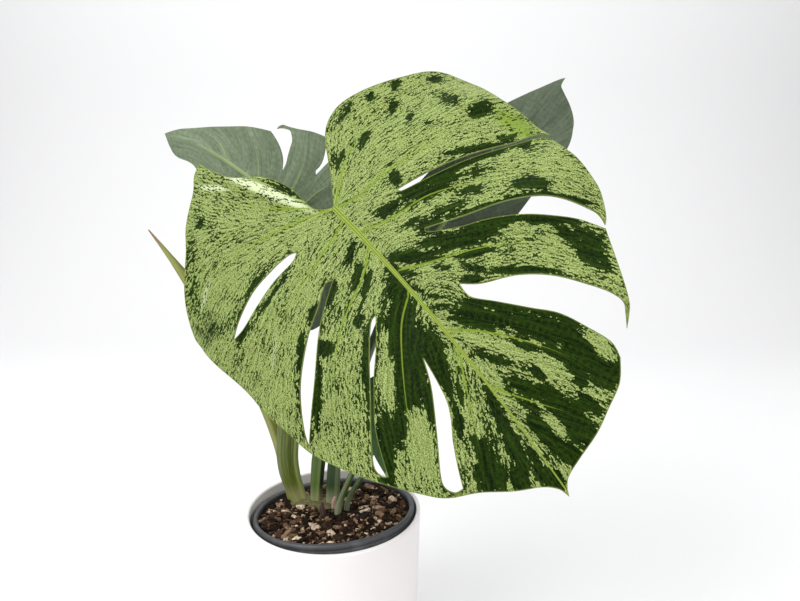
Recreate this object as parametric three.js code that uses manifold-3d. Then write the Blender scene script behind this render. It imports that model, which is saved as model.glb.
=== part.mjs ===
// A marbled monstera in a plastic nursery pot, which stands in a white glazed planter.
// Millimetres, +Z up. The origin is the centre of the planter's underside, and the
// largest leaf faces -Y.
import * as THREE from "three";
import { mergeVertices } from "three/addons/utils/BufferGeometryUtils.js";
import Module from "manifold-3d";

const wasm = await Module();
wasm.setup();

// Driving dimensions: the two pots and the soil
const clearance = 0.3;
const roundSteps = 44;
const planterHeight = 150;
const planterRimRadius = 82.5;
const planterBaseRadius = 78.6;
const planterWall = 4.2;
const planterFloor = 6;
const potHeight = 137;
const potRimRadius = 76.4;
const potBaseRadius = 58;
const potWall = 1.3;
const potTilt = THREE.MathUtils.degToRad(-2.7);
const potLean = THREE.MathUtils.degToRad(-5);
const potShift = { x: 6.8, y: -11.2 };
const rimDrop = 13;
const rimStep = 2.4;
const rimRoll = 5;
const drainHoles = 6;
const drainRadius = 5;
const drainCircle = 42;
const soilDepth = 5;
const soilBump = 1.6;
const chipCount = 34;
const seed = 7;

// Driving dimensions: the plant
const bladeThickness = 1;
const swellWidth = 12;
const meshSpacing = 13.5;
const marginStep = 9;
const marginTurn = 0.42;
const stalkSides = 8;
const stalkStep = 17;

// The crown is a short buried stem, longer than it is wide, from which all stalks rise.
const crown = { centre: [-19, 17], length: 70, width: 33, turn: -34, bottom: 122, top: 149 };

const colours = {
  glaze: { color: 0xf1f0ee, roughness: 0.28 },
  plastic: { color: 0x3c3d3e, roughness: 0.5 },
  mix: { color: 0x4a3326, roughness: 0.95 },
  crown: { color: 0x8a7a4a, roughness: 0.8 },
  marbled: { color: 0x84a65c, roughness: 0.38 },
  underside: { color: 0x62795a, roughness: 0.55 },
  stalk: { color: 0x8d9a3c, roughness: 0.45 },
  young: { color: 0xa3ab48, roughness: 0.45 },
  brown: { color: 0x5a3c28, roughness: 0.9 },
  tan: { color: 0xb98a72, roughness: 0.85 },
};

// The marbled blade: its midrib hangs forward and down from the stalk. Outlines are [u, v] in
// millimetres, u along the midrib from the stalk and v out to its upper or lower side. Each
// list is one smooth stretch, and the margin has a corner where two stretches meet.
const frontBlade = {
  midrib: [[6, -12, 432], [70, -66, 375], [127, -111, 311], [182, -142, 236]],
  side: [0.774, 0.087, 0.629],
  rise: 8,
  droop: 0.2,
  wave: { height: 5, length: 92, phase: 0.6, from: 60 },
  swell: 2.2,
  rib: { top: 0.8, bottom: 3, width: 4 },
  margin: [
    [[0, 0], [-26, 19], [-60, 41], [-73, 62], [-72, 86], [-59, 128], [-46, 162], [-25, 174],
      [14, 176], [40, 183], [58, 184], [69, 187]],
    [[69, 187], [64, 176], [60, 152], [52, 126], [44, 97], [38, 72], [33, 49]],
    [[33, 49], [37, 52], [44, 79], [50, 106], [57, 133], [64, 158], [68, 174], [74, 182]],
    [[74, 182], [92, 181], [108, 180], [130, 176], [143, 169], [154, 160], [159, 153.5]],
    [[159, 153.5], [151, 156], [143, 154], [125, 141], [112, 125], [100, 101], [89, 71], [76, 42]],
    [[76, 42], [80, 42], [93, 61], [103, 82], [116, 104], [131, 124], [145, 140], [161.5, 151]],
    [[161.5, 151], [173, 144], [196, 131], [214, 121], [221, 114.5], [228, 106]],
    [[228, 106], [219, 113], [212, 117], [202, 114], [188, 105], [168, 90], [152, 70],
      [140, 45], [129, 32]],
    [[129, 32], [142, 32], [157, 44], [176, 60], [192, 74], [211, 83], [229, 90], [241, 88]],
    [[241, 88], [254, 76], [263, 59], [272, 42], [279, 22], [285, 8], [291, 2], [297, -1]],
    [[297, -1], [289, -4], [281, -13], [272, -31], [259, -52], [250, -72], [239, -85],
      [217, -104], [189, -125], [153, -147], [120, -154], [80, -163], [32, -171], [-5, -176],
      [-28, -178], [-51, -163], [-78, -128], [-103, -109], [-123, -83], [-134, -72], [-139, -60]],
    [[-139, -60], [-125, -57], [-96, -46], [-75, -26], [-46, -15], [-13, -13], [0, 0]],
  ],
  holes: [
    [
      [[10, -49], [14, -57], [15, -80], [19, -104], [23, -127], [22, -142]],
      [[22, -142], [14, -126], [6, -101], [5, -78], [6, -58], [10, -49]],
    ],
    [
      [[55, -42], [65, -57], [81, -78], [110, -105], [131, -128], [146, -145]],
      [[146, -145], [132, -138], [101, -114], [77, -88], [63, -64], [53, -49], [55, -42]],
    ],
    [
      [[104, -34], [123, -48], [141, -64], [150, -71], [167, -83.5], [180, -90.5], [198, -97],
        [210, -101]],
      [[210, -101], [207, -105], [199, -106], [190, -102], [178, -94.5], [167, -87],
        [148, -73], [126, -57], [107, -41], [104, -34]],
    ],
    [
      [[156, -26], [172, -28], [191, -31.5], [204, -37], [219, -46], [236, -54], [250, -59.5]],
      [[250, -59.5], [249, -66], [242, -70], [233, -67.5], [214, -56], [189, -41],
        [173, -32.5], [156, -26]],
    ],
  ],
  veins: [
    [[4, 4], [11, 24], [12, 50], [17, 87], [22, 128], [34, 164]],
    [[0, 3], [-18, 26], [-36, 62], [-34, 104]],
    [[36, 2], [48, 29], [55, 64], [72, 102], [96, 145], [118, 168]],
    [[85, 2], [99, 26], [120, 68], [146, 104], [182, 128]],
    [[149, 1], [168, 22], [202, 48], [236, 68]],
    [[205, 1], [232, 20], [258, 40]],
    [[-1, -6], [-15, -35], [-30, -70], [-46, -110], [-44, -148]],
    [[-3, -4], [-36, -34], [-78, -62], [-112, -74]],
    [[19, -6], [32, -46], [43, -88], [62, -132]],
    [[56, -6], [70, -22], [92, -62], [132, -104], [170, -122]],
    [[109, -6], [128, -27], [176, -58], [222, -78]],
    [[172, -4], [205, -20], [245, -38]],
  ],
};

// The leaf at the back on the left, which turns its underside to the front.
const leftBlade = {
  midrib: [[-39, 60, 421], [-80, 72, 459], [-125, 90, 492], [-173, 100, 503]],
  side: [0.5, -0.3, 0.8],
  rise: 5,
  droop: 0.27,
  wave: { height: 3, length: 70, phase: 2, from: 40 },
  swell: 2,
  rib: { top: 0.4, bottom: 2, width: 4 },
  margin: [
    [[0, 0], [-26, 10], [-50, 30], [-62, 58], [-52, 84], [-28, 95], [-10, 95], [-2, 90]],
    [[-2, 90], [0, 80], [2, 69], [3.5, 62], [4.5, 56], [6, 48]],
    [[6, 48], [8, 51], [7, 57], [7, 63], [8, 69], [10, 77], [13, 87]],
    [[13, 87], [25, 82], [39, 73], [48, 68], [53, 66], [56, 62], [57, 58]],
    [[57, 58], [53, 62], [48, 65], [44, 66], [39.5, 60], [38.5, 52], [37, 42], [35.5, 35],
      [35.5, 26]],
    [[35.5, 26], [40, 36], [46, 43], [53, 48], [62, 52]],
    [[62, 52], [82, 43], [104, 30], [133, 15], [150, 8], [165, 0]],
    [[165, 0], [160, -13], [151, -21], [126, -24], [104, -48], [80, -68], [48, -82], [26, -82]],
    [[26, -82], [20, -64], [6, -40], [2, -22]],
    [[2, -22], [-14, -24], [-26, -30], [-44, -46], [-62, -67], [-80, -81], [-88, -66],
      [-88, -44], [-78, -20], [-52, -8], [-26, -6], [0, 0]],
  ],
  holes: [],
  veins: [
    [[4, 3], [-0.5, 19], [-4, 35], [-10, 51], [-14, 74]],
    [[-3, 3], [-24, 26], [-38, 56]],
    [[22, 2], [17.5, 22], [18.5, 38], [21.5, 56], [26, 68]],
    [[50, 2], [62, 22], [76, 36]],
    [[88, 2], [104, 12], [118, 16]],
    [[-3, -3], [-30, -30], [-56, -64]],
    [[30, -2], [30, -30], [38, -60]],
    [[62, -2], [72, -26], [92, -44]],
  ],
};

// The narrow leaf at the back on the right, with its tip up.
const rightBlade = {
  midrib: [[75, 45, 377], [123, 55, 440], [172, 66, 500], [223, 85, 553]],
  side: [0.78, 0, -0.62],
  rise: 6,
  droop: 0.25,
  wave: { height: 2.5, length: 80, phase: 0.4, from: 25 },
  swell: 1.6,
  rib: { top: 0.4, bottom: 1.8, width: 4 },
  margin: [
    [[0, 0], [-14, 8], [-28, 18], [-33, 28], [-22, 37], [6, 42], [48, 53], [98, 52], [140, 50],
      [184, 48], [205, 39], [215, 30], [221, 19], [224, 9], [226.5, 2], [235, 0]],
    [[235, 0], [228, -4], [213, -10.5], [196, -18], [170, -28], [130, -38], [81, -41],
      [40, -44], [2, -42], [-22, -34], [-30, -20], [-16, -8], [0, 0]],
  ],
  holes: [],
  veins: [
    [[0, 3], [-6, 22], [6, 40]],
    [[30, 2], [44, 22], [70, 42]],
    [[74, 2], [92, 20], [122, 38]],
    [[122, 2], [142, 18], [172, 32]],
    [[0, -3], [-2, -18], [12, -32]],
    [[30, -2], [44, -16], [68, -30]],
    [[74, -2], [90, -14], [120, -26]],
    [[122, -2], [140, -10], [164, -18]],
  ],
};

// Two small early leaves hang low behind the marbled one. They share one heart shape.
const smallHeart = {
  rise: 10,
  droop: 0.7,
  wave: { height: 1, length: 40, phase: 0, from: 10 },
  swell: 0,
  rib: { top: 0.2, bottom: 0.9, width: 3 },
  margin: [
    [[0, 0], [-9, 6], [-13, 14], [-6, 23], [14, 28], [38, 25], [60, 15], [80, 0]],
    [[80, 0], [60, -15], [38, -25], [14, -28], [-6, -23], [-13, -14], [-9, -6], [0, 0]],
  ],
  holes: [],
  veins: [],
};
const lowFrontBlade = {
  ...smallHeart,
  midrib: [[56, -25, 275], [60, -38, 256], [58, -42, 226], [52, -39, 202]],
  side: [1, 0.1, 0],
};
const lowBackBlade = {
  ...smallHeart,
  midrib: [[58, 18, 246], [72, 32, 236], [80, 40, 214], [78, 40, 184]],
  side: [-0.8, 0.5, -0.1],
};

const blades = {
  blade_front: { blade: frontBlade, finish: "marbled" },
  blade_left: { blade: leftBlade, finish: "underside" },
  blade_right: { blade: rightBlade, finish: "underside" },
  blade_low_front: { blade: lowFrontBlade, finish: "underside" },
  blade_low_back: { blade: lowBackBlade, finish: "underside" },
};

// A stalk follows its path from the crown up. Its widths are across the front view, and its
// depths run front to back, both spread evenly along the path.
const stalks = {
  petiole_front: {
    path: [[-34, 25, 137], [-40, 24.5, 154], [-45, 24, 171], [-47, 23, 190], [-45, 21, 219],
      [-44, 19, 269], [-38, 17, 318], [-27, 13, 363], [-12, 6, 400], [2, 0, 418],
      [9, -5, 424], [11, -14, 427]],
    widths: [15, 21, 22, 18, 15, 12, 10, 9.5, 9],
    depths: [11, 13, 12, 12, 11, 10, 10, 9, 8],
    carries: "blade_front",
    finish: "stalk",
  },
  petiole_left: {
    path: [[-19.5, 18, 139], [-18.5, 20.5, 164], [-16, 24, 192], [-10, 28, 230], [-1, 33, 280],
      [4, 37, 325], [2, 39, 362], [-8, 41, 388], [-24, 42, 406], [-38, 47, 416], [-44.5, 60, 425]],
    widths: [11, 14, 13, 12, 10, 9, 8, 7],
    depths: [10, 12, 11, 10, 10, 9, 8, 7],
    carries: "blade_left",
    finish: "stalk",
  },
  petiole_right: {
    path: [[-3, 16, 140], [-2, 17, 165], [0, 19, 190], [8, 20, 220], [20, 23, 258],
      [38, 28, 306], [54, 31, 344], [68, 34, 366], [76, 37, 377], [79, 45, 383]],
    widths: [14, 13, 12, 9, 8, 7],
    depths: [11, 11, 10, 8, 8, 7],
    carries: "blade_right",
    finish: "stalk",
  },
  petiole_low_front: {
    path: [[3, -2, 140], [6, -3, 155], [18, -4, 185], [32, -8, 220], [46, -13, 256],
      [53, -15, 268], [56.5, -20, 273], [57, -27, 270.5]],
    widths: [7, 6, 5, 4.4],
    depths: [7, 6, 5, 4.4],
    carries: "blade_low_front",
    finish: "stalk",
  },
  petiole_low_back: {
    path: [[11, 6, 140], [14, 5, 155], [27, 6, 178], [40, 10, 208], [50, 12, 230],
      [56, 15, 240], [61, 21, 243]],
    widths: [6, 5, 4.4, 4],
    depths: [6, 5, 4.4, 4],
    carries: "blade_low_back",
    finish: "stalk",
  },
  spear_leaf: {
    path: [[-46, 37, 139], [-50, 37, 162], [-57, 37, 198], [-69, 37, 235], [-86, 39, 271],
      [-105, 41, 304], [-126, 44, 337], [-146, 47, 366], [-164, 50, 390], [-179, 52, 409]],
    widths: [10, 13, 13, 12, 10, 9, 10, 12, 6, 1.6],
    depths: [10, 11, 11, 10, 9, 9, 10, 10, 6, 1.6],
    finish: "young",
  },
  sheath_stub_brown: {
    path: [[-9, -7, 138], [-9, -8, 146], [-10, -9, 153], [-10, -9, 159]],
    widths: [7, 7, 6, 3],
    depths: [5, 5, 4, 2],
    finish: "brown",
  },
  sheath_stub_tan: {
    path: [[1, 7, 138], [0, 6, 146], [0, 5, 153], [1, 5, 158]],
    widths: [6, 6, 5.5, 3],
    depths: [4, 4, 4, 2.4],
    finish: "tan",
  },
};

// Solids and meshes

function solidOf(geometry) {
  const bare = geometry.clone();
  for (const name of Object.keys(bare.attributes)) {
    if (name !== "position") bare.deleteAttribute(name);
  }
  const merged = mergeVertices(bare, 1e-3);
  return new wasm.Manifold(
    new wasm.Mesh({
      numProp: 3,
      vertProperties: merged.attributes.position.array,
      triVerts: new Uint32Array(merged.index.array),
    }),
  );
}

// A cut can leave loose scraps behind, and only the largest body is kept.
function geometryOf(solid) {
  const bodies = solid.decompose().sort((a, b) => b.volume() - a.volume());
  const { vertProperties, triVerts } = bodies[0].getMesh();
  return indexed(Array.from(vertProperties), Array.from(triVerts));
}

function indexed(positions, faces) {
  const geometry = new THREE.BufferGeometry();
  geometry.setAttribute("position", new THREE.Float32BufferAttribute(positions, 3));
  geometry.setIndex(faces);
  geometry.computeVertexNormals();
  return geometry;
}

function meshOf(name, geometry, finish) {
  const mesh = new THREE.Mesh(
    geometry,
    new THREE.MeshStandardMaterial({ ...colours[finish], metalness: 0 }),
  );
  mesh.name = name;
  return mesh;
}

function randomFrom(start) {
  let state = start;
  return () => {
    state = (state * 16807) % 2147483647;
    return state / 2147483647;
  };
}

// A turned body, whose profile is a closed list of [radius, height].
function turned(profile) {
  const points = profile.map(([r, z]) => new THREE.Vector2(r, z));
  return new THREE.LatheGeometry(points, roundSteps).rotateX(Math.PI / 2);
}

// Points along one smooth stretch, with more of them where it bends.
function alongStretch(stretch) {
  const points = stretch.map(([u, v]) => new THREE.Vector2(u, v));
  const curve = new THREE.SplineCurve(points);
  const spans = points.length - 1;
  const found = [];
  for (let i = 0; i < spans; i++) {
    const from = curve.getTangent((i + 0.02) / spans);
    const to = curve.getTangent((i + 0.98) / spans);
    const turn = Math.abs(from.angleTo(to));
    const length = points[i].distanceTo(points[i + 1]);
    const steps = Math.max(1, Math.round(length / marginStep), Math.ceil(turn / marginTurn));
    for (let s = 0; s < steps; s++) found.push(curve.getPoint((i + s / steps) / spans));
  }
  return found;
}

// A closed loop of such stretches, counterclockwise.
function loopOf(stretches) {
  const loop = stretches.flatMap(alongStretch);
  return THREE.ShapeUtils.area(loop) < 0 ? loop.reverse() : loop;
}

function isInside(point, loop) {
  let inside = false;
  for (let i = 0, j = loop.length - 1; i < loop.length; j = i++) {
    const a = loop[i];
    const b = loop[j];
    const crosses = a.y > point.y !== b.y > point.y;
    if (crosses && point.x < ((b.x - a.x) * (point.y - a.y)) / (b.y - a.y) + a.x) inside = !inside;
  }
  return inside;
}

function distanceTo(point, from, to) {
  const along = to.clone().sub(from);
  const share = THREE.MathUtils.clamp(
    point.clone().sub(from).dot(along) / Math.max(along.lengthSq(), 1e-9), 0, 1);
  return point.distanceTo(from.clone().addScaledVector(along, share));
}

function distanceToLine(point, line, closed) {
  let least = Infinity;
  const last = closed ? line.length : line.length - 1;
  for (let i = 0; i < last; i++) {
    least = Math.min(least, distanceTo(point, line[i], line[(i + 1) % line.length]));
  }
  return least;
}

function turnOf(a, b, c) {
  return (b.x - a.x) * (c.y - a.y) - (b.y - a.y) * (c.x - a.x);
}

function inCircle(a, b, c, d) {
  const rows = [a, b, c].map((p) => {
    const x = p.x - d.x;
    const y = p.y - d.y;
    return [x, y, x * x + y * y];
  });
  const [[ax, ay, as], [bx, by, bs], [cx, cy, cs]] = rows;
  return ax * (by * cs - bs * cy) - ay * (bx * cs - bs * cx) + as * (bx * cy - by * cx) > 1e-3;
}

// Even triangles over the area within a margin and outside its holes. The margin's own edges
// stay, and every other edge is turned to the shorter way across.
function triangulate(margin, holes, inner) {
  const points = [margin, ...holes].flat();
  const third = new Map();
  const key = (a, b) => a * 100000 + b;
  const add = (a, b, c) => {
    third.set(key(a, b), c).set(key(b, c), a).set(key(c, a), b);
  };
  const drop = (a, b, c) => {
    [key(a, b), key(b, c), key(c, a)].forEach((edge) => third.delete(edge));
  };
  const settle = (a, b) => {
    const c = third.get(key(a, b));
    const d = third.get(key(b, a));
    if (c === undefined || d === undefined) return;
    if (!inCircle(points[a], points[b], points[c], points[d])) return;
    drop(a, b, c);
    drop(b, a, d);
    add(a, d, c);
    add(d, b, c);
    [[a, d], [d, b], [b, c], [c, a]].forEach(([from, to]) => settle(from, to));
  };
  for (const [a, b, c] of THREE.ShapeUtils.triangulateShape([...margin], holes)) {
    if (turnOf(points[a], points[b], points[c]) > 0) add(a, b, c);
    else add(a, c, b);
  }
  for (const edge of [...third.keys()]) settle(Math.floor(edge / 100000), edge % 100000);
  for (const point of inner) {
    const at = points.push(point) - 1;
    for (const [edge, c] of third) {
      const a = Math.floor(edge / 100000);
      const b = edge % 100000;
      const corners = [points[a], points[b], points[c]];
      if (corners.every((p, i) => turnOf(p, corners[(i + 1) % 3], point) > 0)) {
        drop(a, b, c);
        add(a, b, at);
        add(b, c, at);
        add(c, a, at);
        [[a, b], [b, c], [c, a]].forEach(([from, to]) => settle(from, to));
        break;
      }
    }
  }
  const faces = [];
  const rims = [];
  for (const [edge, c] of third) {
    const a = Math.floor(edge / 100000);
    const b = edge % 100000;
    if (a < b && a < c) faces.push([a, b, c]);
    if (!third.has(key(b, a))) rims.push([a, b]);
  }
  return { points, faces, rims };
}

// The curved middle surface of a blade: an arc across the midrib on either side, which rises
// a little and then droops, with waves towards the margin and a swell between the veins.
function surfaceOf(blade) {
  const midrib = new THREE.CubicBezierCurve3(...blade.midrib.map((p) => new THREE.Vector3(...p)));
  const length = midrib.getLength();
  const hint = new THREE.Vector3(...blade.side);
  const rise = THREE.MathUtils.degToRad(blade.rise);
  const droop = THREE.MathUtils.degToRad(blade.droop);
  const veins = blade.veins.map(alongStretch);
  const { wave, rib } = blade;

  const veinDistance = (u, v) => {
    const point = new THREE.Vector2(u, v);
    return Math.min(Math.abs(v), ...veins.map((vein) => distanceToLine(point, vein, false)));
  };

  const reliefAt = (u, v) => {
    const out = Math.max(0, Math.abs(v) - wave.from) / 100;
    const ripple = wave.height * out * Math.sin((2 * Math.PI * u) / wave.length + wave.phase);
    return ripple + blade.swell * (0.5 - Math.exp(-((veinDistance(u, v) / swellWidth) ** 2)));
  };

  const pointAt = (u, v) => {
    const share = THREE.MathUtils.clamp(u / length, 0, 1);
    const along = midrib.getTangentAt(share);
    const across = hint.clone().addScaledVector(along, -hint.dot(along)).normalize();
    const out = along.clone().cross(across);
    const far = Math.abs(v);
    const reach = (Math.sin(rise) - Math.sin(rise - droop * far)) / droop;
    const lift = (Math.cos(rise - droop * far) - Math.cos(rise)) / droop;
    return midrib.getPointAt(share)
      .addScaledVector(along, u - share * length)
      .addScaledVector(across, Math.sign(v) * reach)
      .addScaledVector(out, lift + reliefAt(u, v));
  };

  const normalAt = (u, v) => {
    const du = pointAt(u + 2, v).sub(pointAt(u - 2, v));
    const dv = pointAt(u, v + 2).sub(pointAt(u, v - 2));
    return du.cross(dv).normalize();
  };

  // How far the ribs stand out, above 1 at a rib's crest on the midrib's thick end.
  const ribAt = (u, v) => {
    const taper = 1 - 0.75 * THREE.MathUtils.clamp(u / length, 0, 1);
    const middle = u < -2 ? 0 : taper * Math.exp(-((v / rib.width) ** 2));
    const sides = 0.4 * Math.exp(-((veinDistance(u, v) / rib.width) ** 2));
    return Math.max(middle, sides);
  };
  return { pointAt, normalAt, ribAt, veins, length };
}

// Points inside a blade: rows on the midrib and the veins, and an even field between them.
function innerPoints(blade, surface, margin, holes) {
  const kept = [];
  const fits = (point, room, marginRoom) =>
    isInside(point, margin) &&
    !holes.some((hole) => isInside(point, hole)) &&
    [margin, ...holes].every((loop) => distanceToLine(point, loop, true) > marginRoom) &&
    kept.every((other) => other.distanceTo(point) > room);
  const offer = (u, v, room, marginRoom) => {
    const point = new THREE.Vector2(u, v);
    if (fits(point, room, marginRoom)) kept.push(point);
  };
  const { width } = blade.rib;
  for (let u = width; u < surface.length - width; u += meshSpacing * 0.8) {
    for (const v of [0, width, -width]) offer(u, v, width * 0.7, 1.2);
  }
  for (const vein of surface.veins) vein.forEach((p) => offer(p.x, p.y, width * 1.4, 2));
  const random = randomFrom(seed);
  const rowStep = meshSpacing * Math.sin(Math.PI / 3);
  const size = 420;
  for (let row = -size; row < size; row += rowStep) {
    const start = Math.round(row / rowStep) % 2 ? meshSpacing / 2 : 0;
    for (let column = -size + start; column < size; column += meshSpacing) {
      const shake = () => (random() - 0.5) * 0.4;
      offer(column + shake(), row + shake(), meshSpacing * 0.62, meshSpacing * 0.35);
    }
  }
  return kept;
}

// A blade is one thin solid, with the same triangles on its face and its back. `grown` makes
// it thicker either way.
function bladeGeometry(blade, grown = 0) {
  const surface = surfaceOf(blade);
  const margin = loopOf(blade.margin);
  const holes = blade.holes.map(loopOf);
  const inner = innerPoints(blade, surface, margin, holes);
  const { points, faces, rims } = triangulate(margin, holes, inner);
  const top = [];
  const bottom = [];
  for (const { x: u, y: v } of points) {
    const middle = surface.pointAt(u, v);
    const normal = surface.normalAt(u, v);
    const rib = surface.ribAt(u, v);
    const above = bladeThickness / 2 + blade.rib.top * rib + grown;
    const below = bladeThickness / 2 + blade.rib.bottom * rib + grown;
    top.push(...middle.clone().addScaledVector(normal, above).toArray());
    bottom.push(...middle.clone().addScaledVector(normal, -below).toArray());
  }
  const count = points.length;
  const triangles = [
    ...faces.flat(),
    ...faces.flatMap(([a, b, c]) => [c + count, b + count, a + count]),
    ...rims.flatMap(([a, b]) => [b, a, a + count, b, a + count, b + count]),
  ];
  return indexed([...top, ...bottom], triangles);
}

// The value at a share of the way along an evenly spread list.
function spreadAt(list, share) {
  const at = share * (list.length - 1);
  const low = Math.min(Math.floor(at), list.length - 2);
  return THREE.MathUtils.lerp(list[low], list[low + 1], at - low);
}

// A tapered stalk with an oval section, made larger all round by `grown`.
function stalkGeometry({ path, widths, depths }, grown = 0) {
  const curve = new THREE.CatmullRomCurve3(path.map((p) => new THREE.Vector3(...p)));
  const rings = Math.max(4, Math.round(curve.getLength() / stalkStep));
  const positions = [];
  const faces = [];
  const start = curve.getPointAt(0).addScaledVector(curve.getTangentAt(0), -grown);
  const end = curve.getPointAt(1).addScaledVector(curve.getTangentAt(1), grown);
  for (let ring = 0; ring <= rings; ring++) {
    const share = ring / rings;
    const along = curve.getTangentAt(share);
    const across = new THREE.Vector3(1, 0, 0).addScaledVector(along, -along.x).normalize();
    const out = along.clone().cross(across);
    const centre = curve.getPointAt(share).addScaledVector(along, grown * (2 * share - 1));
    for (let side = 0; side < stalkSides; side++) {
      const angle = (2 * Math.PI * (side + 0.5)) / stalkSides;
      const width = spreadAt(widths, share) / 2 + grown;
      const depth = spreadAt(depths, share) / 2 + grown;
      const point = centre.clone()
        .addScaledVector(across, width * Math.cos(angle))
        .addScaledVector(out, depth * Math.sin(angle));
      positions.push(...point.toArray());
    }
  }
  for (let ring = 0; ring < rings; ring++) {
    for (let side = 0; side < stalkSides; side++) {
      const next = (side + 1) % stalkSides;
      const a = ring * stalkSides + side;
      const b = ring * stalkSides + next;
      faces.push(a, b, b + stalkSides, a, b + stalkSides, a + stalkSides);
    }
  }
  const first = positions.length / 3;
  positions.push(...start.toArray(), ...end.toArray());
  for (let side = 0; side < stalkSides; side++) {
    const next = (side + 1) % stalkSides;
    faces.push(first, next, side);
    faces.push(first + 1, rings * stalkSides + side, rings * stalkSides + next);
  }
  return indexed(positions, faces);
}

// A stalk that carries a blade ends close under it.
function seatedStalk(stalk) {
  if (!stalk.carries) return stalkGeometry(stalk);
  const blade = solidOf(bladeGeometry(blades[stalk.carries].blade, clearance));
  return geometryOf(solidOf(stalkGeometry(stalk)).subtract(blade));
}

// The planter: a tapered wall with a round lip, a floor and a small chamfer at the foot.
function planterOf() {
  const lip = planterWall / 2;
  const taper = (planterRimRadius - planterBaseRadius) / planterHeight;
  const outerAt = (z) => planterBaseRadius + taper * z;
  const profile = [
    [0, 0],
    [planterBaseRadius - 3, 0],
    [outerAt(2.4), 2.4],
    [outerAt(planterHeight / 2), planterHeight / 2],
  ];
  for (let step = 0; step <= 5; step++) {
    const angle = (Math.PI * step) / 5;
    const middle = outerAt(planterHeight) - lip;
    profile.push([middle + lip * Math.cos(angle), planterHeight - lip + lip * Math.sin(angle)]);
  }
  profile.push(
    [outerAt(planterFloor + 6) - planterWall, planterFloor + 6],
    [outerAt(planterFloor) - planterWall - 6, planterFloor],
    [0, planterFloor],
  );
  return meshOf("planter", turned(profile), "glaze");
}

// The nursery pot: thin, tapered, with a deep rolled rim and drain holes in its floor.
function wallRadius(z) {
  const top = potRimRadius - rimStep;
  return THREE.MathUtils.lerp(potBaseRadius, top, z / potHeight);
}

function nurseryPotOf() {
  const under = potHeight - rimDrop;
  const profile = [
    [0, 0],
    [potBaseRadius - 1.5, 0],
    [potBaseRadius, 2],
    [wallRadius(under), under],
    [potRimRadius, under],
    [potRimRadius, potHeight - 2],
    [potRimRadius - 1.2, potHeight - 0.4],
    [potRimRadius - rimRoll / 2, potHeight],
    [potRimRadius - rimRoll + 0.4, potHeight - 0.8],
    [potRimRadius - rimRoll, potHeight - 2.4],
    [wallRadius(potHeight - 8) - potWall, potHeight - 8],
    [wallRadius(3.2) - potWall, 3.2],
    [potBaseRadius - potWall - 2, potWall],
    [0, potWall],
  ];
  let solid = solidOf(turned(profile));
  for (let hole = 0; hole < drainHoles; hole++) {
    const angle = (2 * Math.PI * (hole + 0.5)) / drainHoles;
    const drill = new THREE.CylinderGeometry(drainRadius, drainRadius, 6, 12)
      .rotateX(Math.PI / 2)
      .translate(drainCircle * Math.cos(angle), drainCircle * Math.sin(angle), 0);
    solid = solid.subtract(solidOf(drill));
  }
  return meshOf("nursery_pot", geometryOf(solid), "plastic");
}

// The top of the mix rolls a little, by a few crossing waves.
function soilHeight(x, y) {
  const roll = Math.sin(x / 7.3 + 1) * Math.cos(y / 6.1) + 0.6 * Math.sin((x + y) / 4.2);
  const heap = 2.5 * Math.exp(-((x + 22) ** 2 + (y - 16) ** 2) / 900);
  return potHeight - soilDepth + soilBump * 0.5 * roll + heap;
}

// The mix fills the nursery pot. Bark chips stand out of its top, and the stems' holes are
// cut last.
function pottingMixOf(stems, frame) {
  const rings = 9;
  const sides = 28;
  const bottom = potWall + clearance;
  const radiusAt = (z) => wallRadius(z) - potWall - clearance;
  const level = potHeight - soilDepth;
  const rim = potRimRadius - rimRoll - 2 * clearance;
  const positions = [];
  const faces = [];
  for (let ring = 1; ring <= rings; ring++) {
    for (let side = 0; side < sides; side++) {
      const angle = (2 * Math.PI * (side + (ring % 2) / 2)) / sides;
      const radius = (rim * ring) / rings;
      const x = radius * Math.cos(angle);
      const y = radius * Math.sin(angle);
      positions.push(x, y, ring === rings ? level : soilHeight(x, y));
    }
  }
  const lower = [[rim, level - 3], [radiusAt(bottom + 4) - 1, bottom + 4],
    [radiusAt(bottom) - 5, bottom]];
  for (const [radius, z] of lower) {
    for (let side = 0; side < sides; side++) {
      const angle = (2 * Math.PI * (side + (rings % 2) / 2)) / sides;
      positions.push((radius - 0.2) * Math.cos(angle), (radius - 0.2) * Math.sin(angle), z);
    }
  }
  const total = rings + lower.length;
  for (let ring = 1; ring < total; ring++) {
    for (let side = 0; side < sides; side++) {
      const next = (side + 1) % sides;
      const [a, b] = [(ring - 1) * sides + side, (ring - 1) * sides + next];
      const [c, d] = [ring * sides + side, ring * sides + next];
      if (ring < rings && ring % 2) faces.push(a, c, b, b, c, d);
      else faces.push(a, d, b, a, c, d);
    }
  }
  const first = positions.length / 3;
  positions.push(0, 0, soilHeight(0, 0), 0, 0, bottom);
  for (let side = 0; side < sides; side++) {
    const next = (side + 1) % sides;
    faces.push(first, side, next);
    faces.push(first + 1, (total - 1) * sides + next, (total - 1) * sides + side);
  }
  let solid = solidOf(indexed(positions, faces));
  const random = randomFrom(seed);
  for (let chip = 0; chip < chipCount; chip++) {
    const radius = (rim - 8) * Math.sqrt(random());
    const angle = 2 * Math.PI * random();
    const x = radius * Math.cos(angle);
    const y = radius * Math.sin(angle);
    const size = 3.5 + 4 * random();
    const lump = new THREE.OctahedronGeometry(size)
      .scale(1, 0.55 + 0.3 * random(), 0.5)
      .rotateZ(Math.PI * random())
      .rotateX(0.6 * (random() - 0.5))
      .translate(x, y, soilHeight(x, y) + 0.6);
    solid = solid.add(solidOf(lump));
  }
  for (const stem of stems) {
    solid = solid.subtract(solidOf(stem.clone().applyMatrix4(frame)));
  }
  return meshOf("potting_mix", geometryOf(solid), "mix");
}

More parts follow.
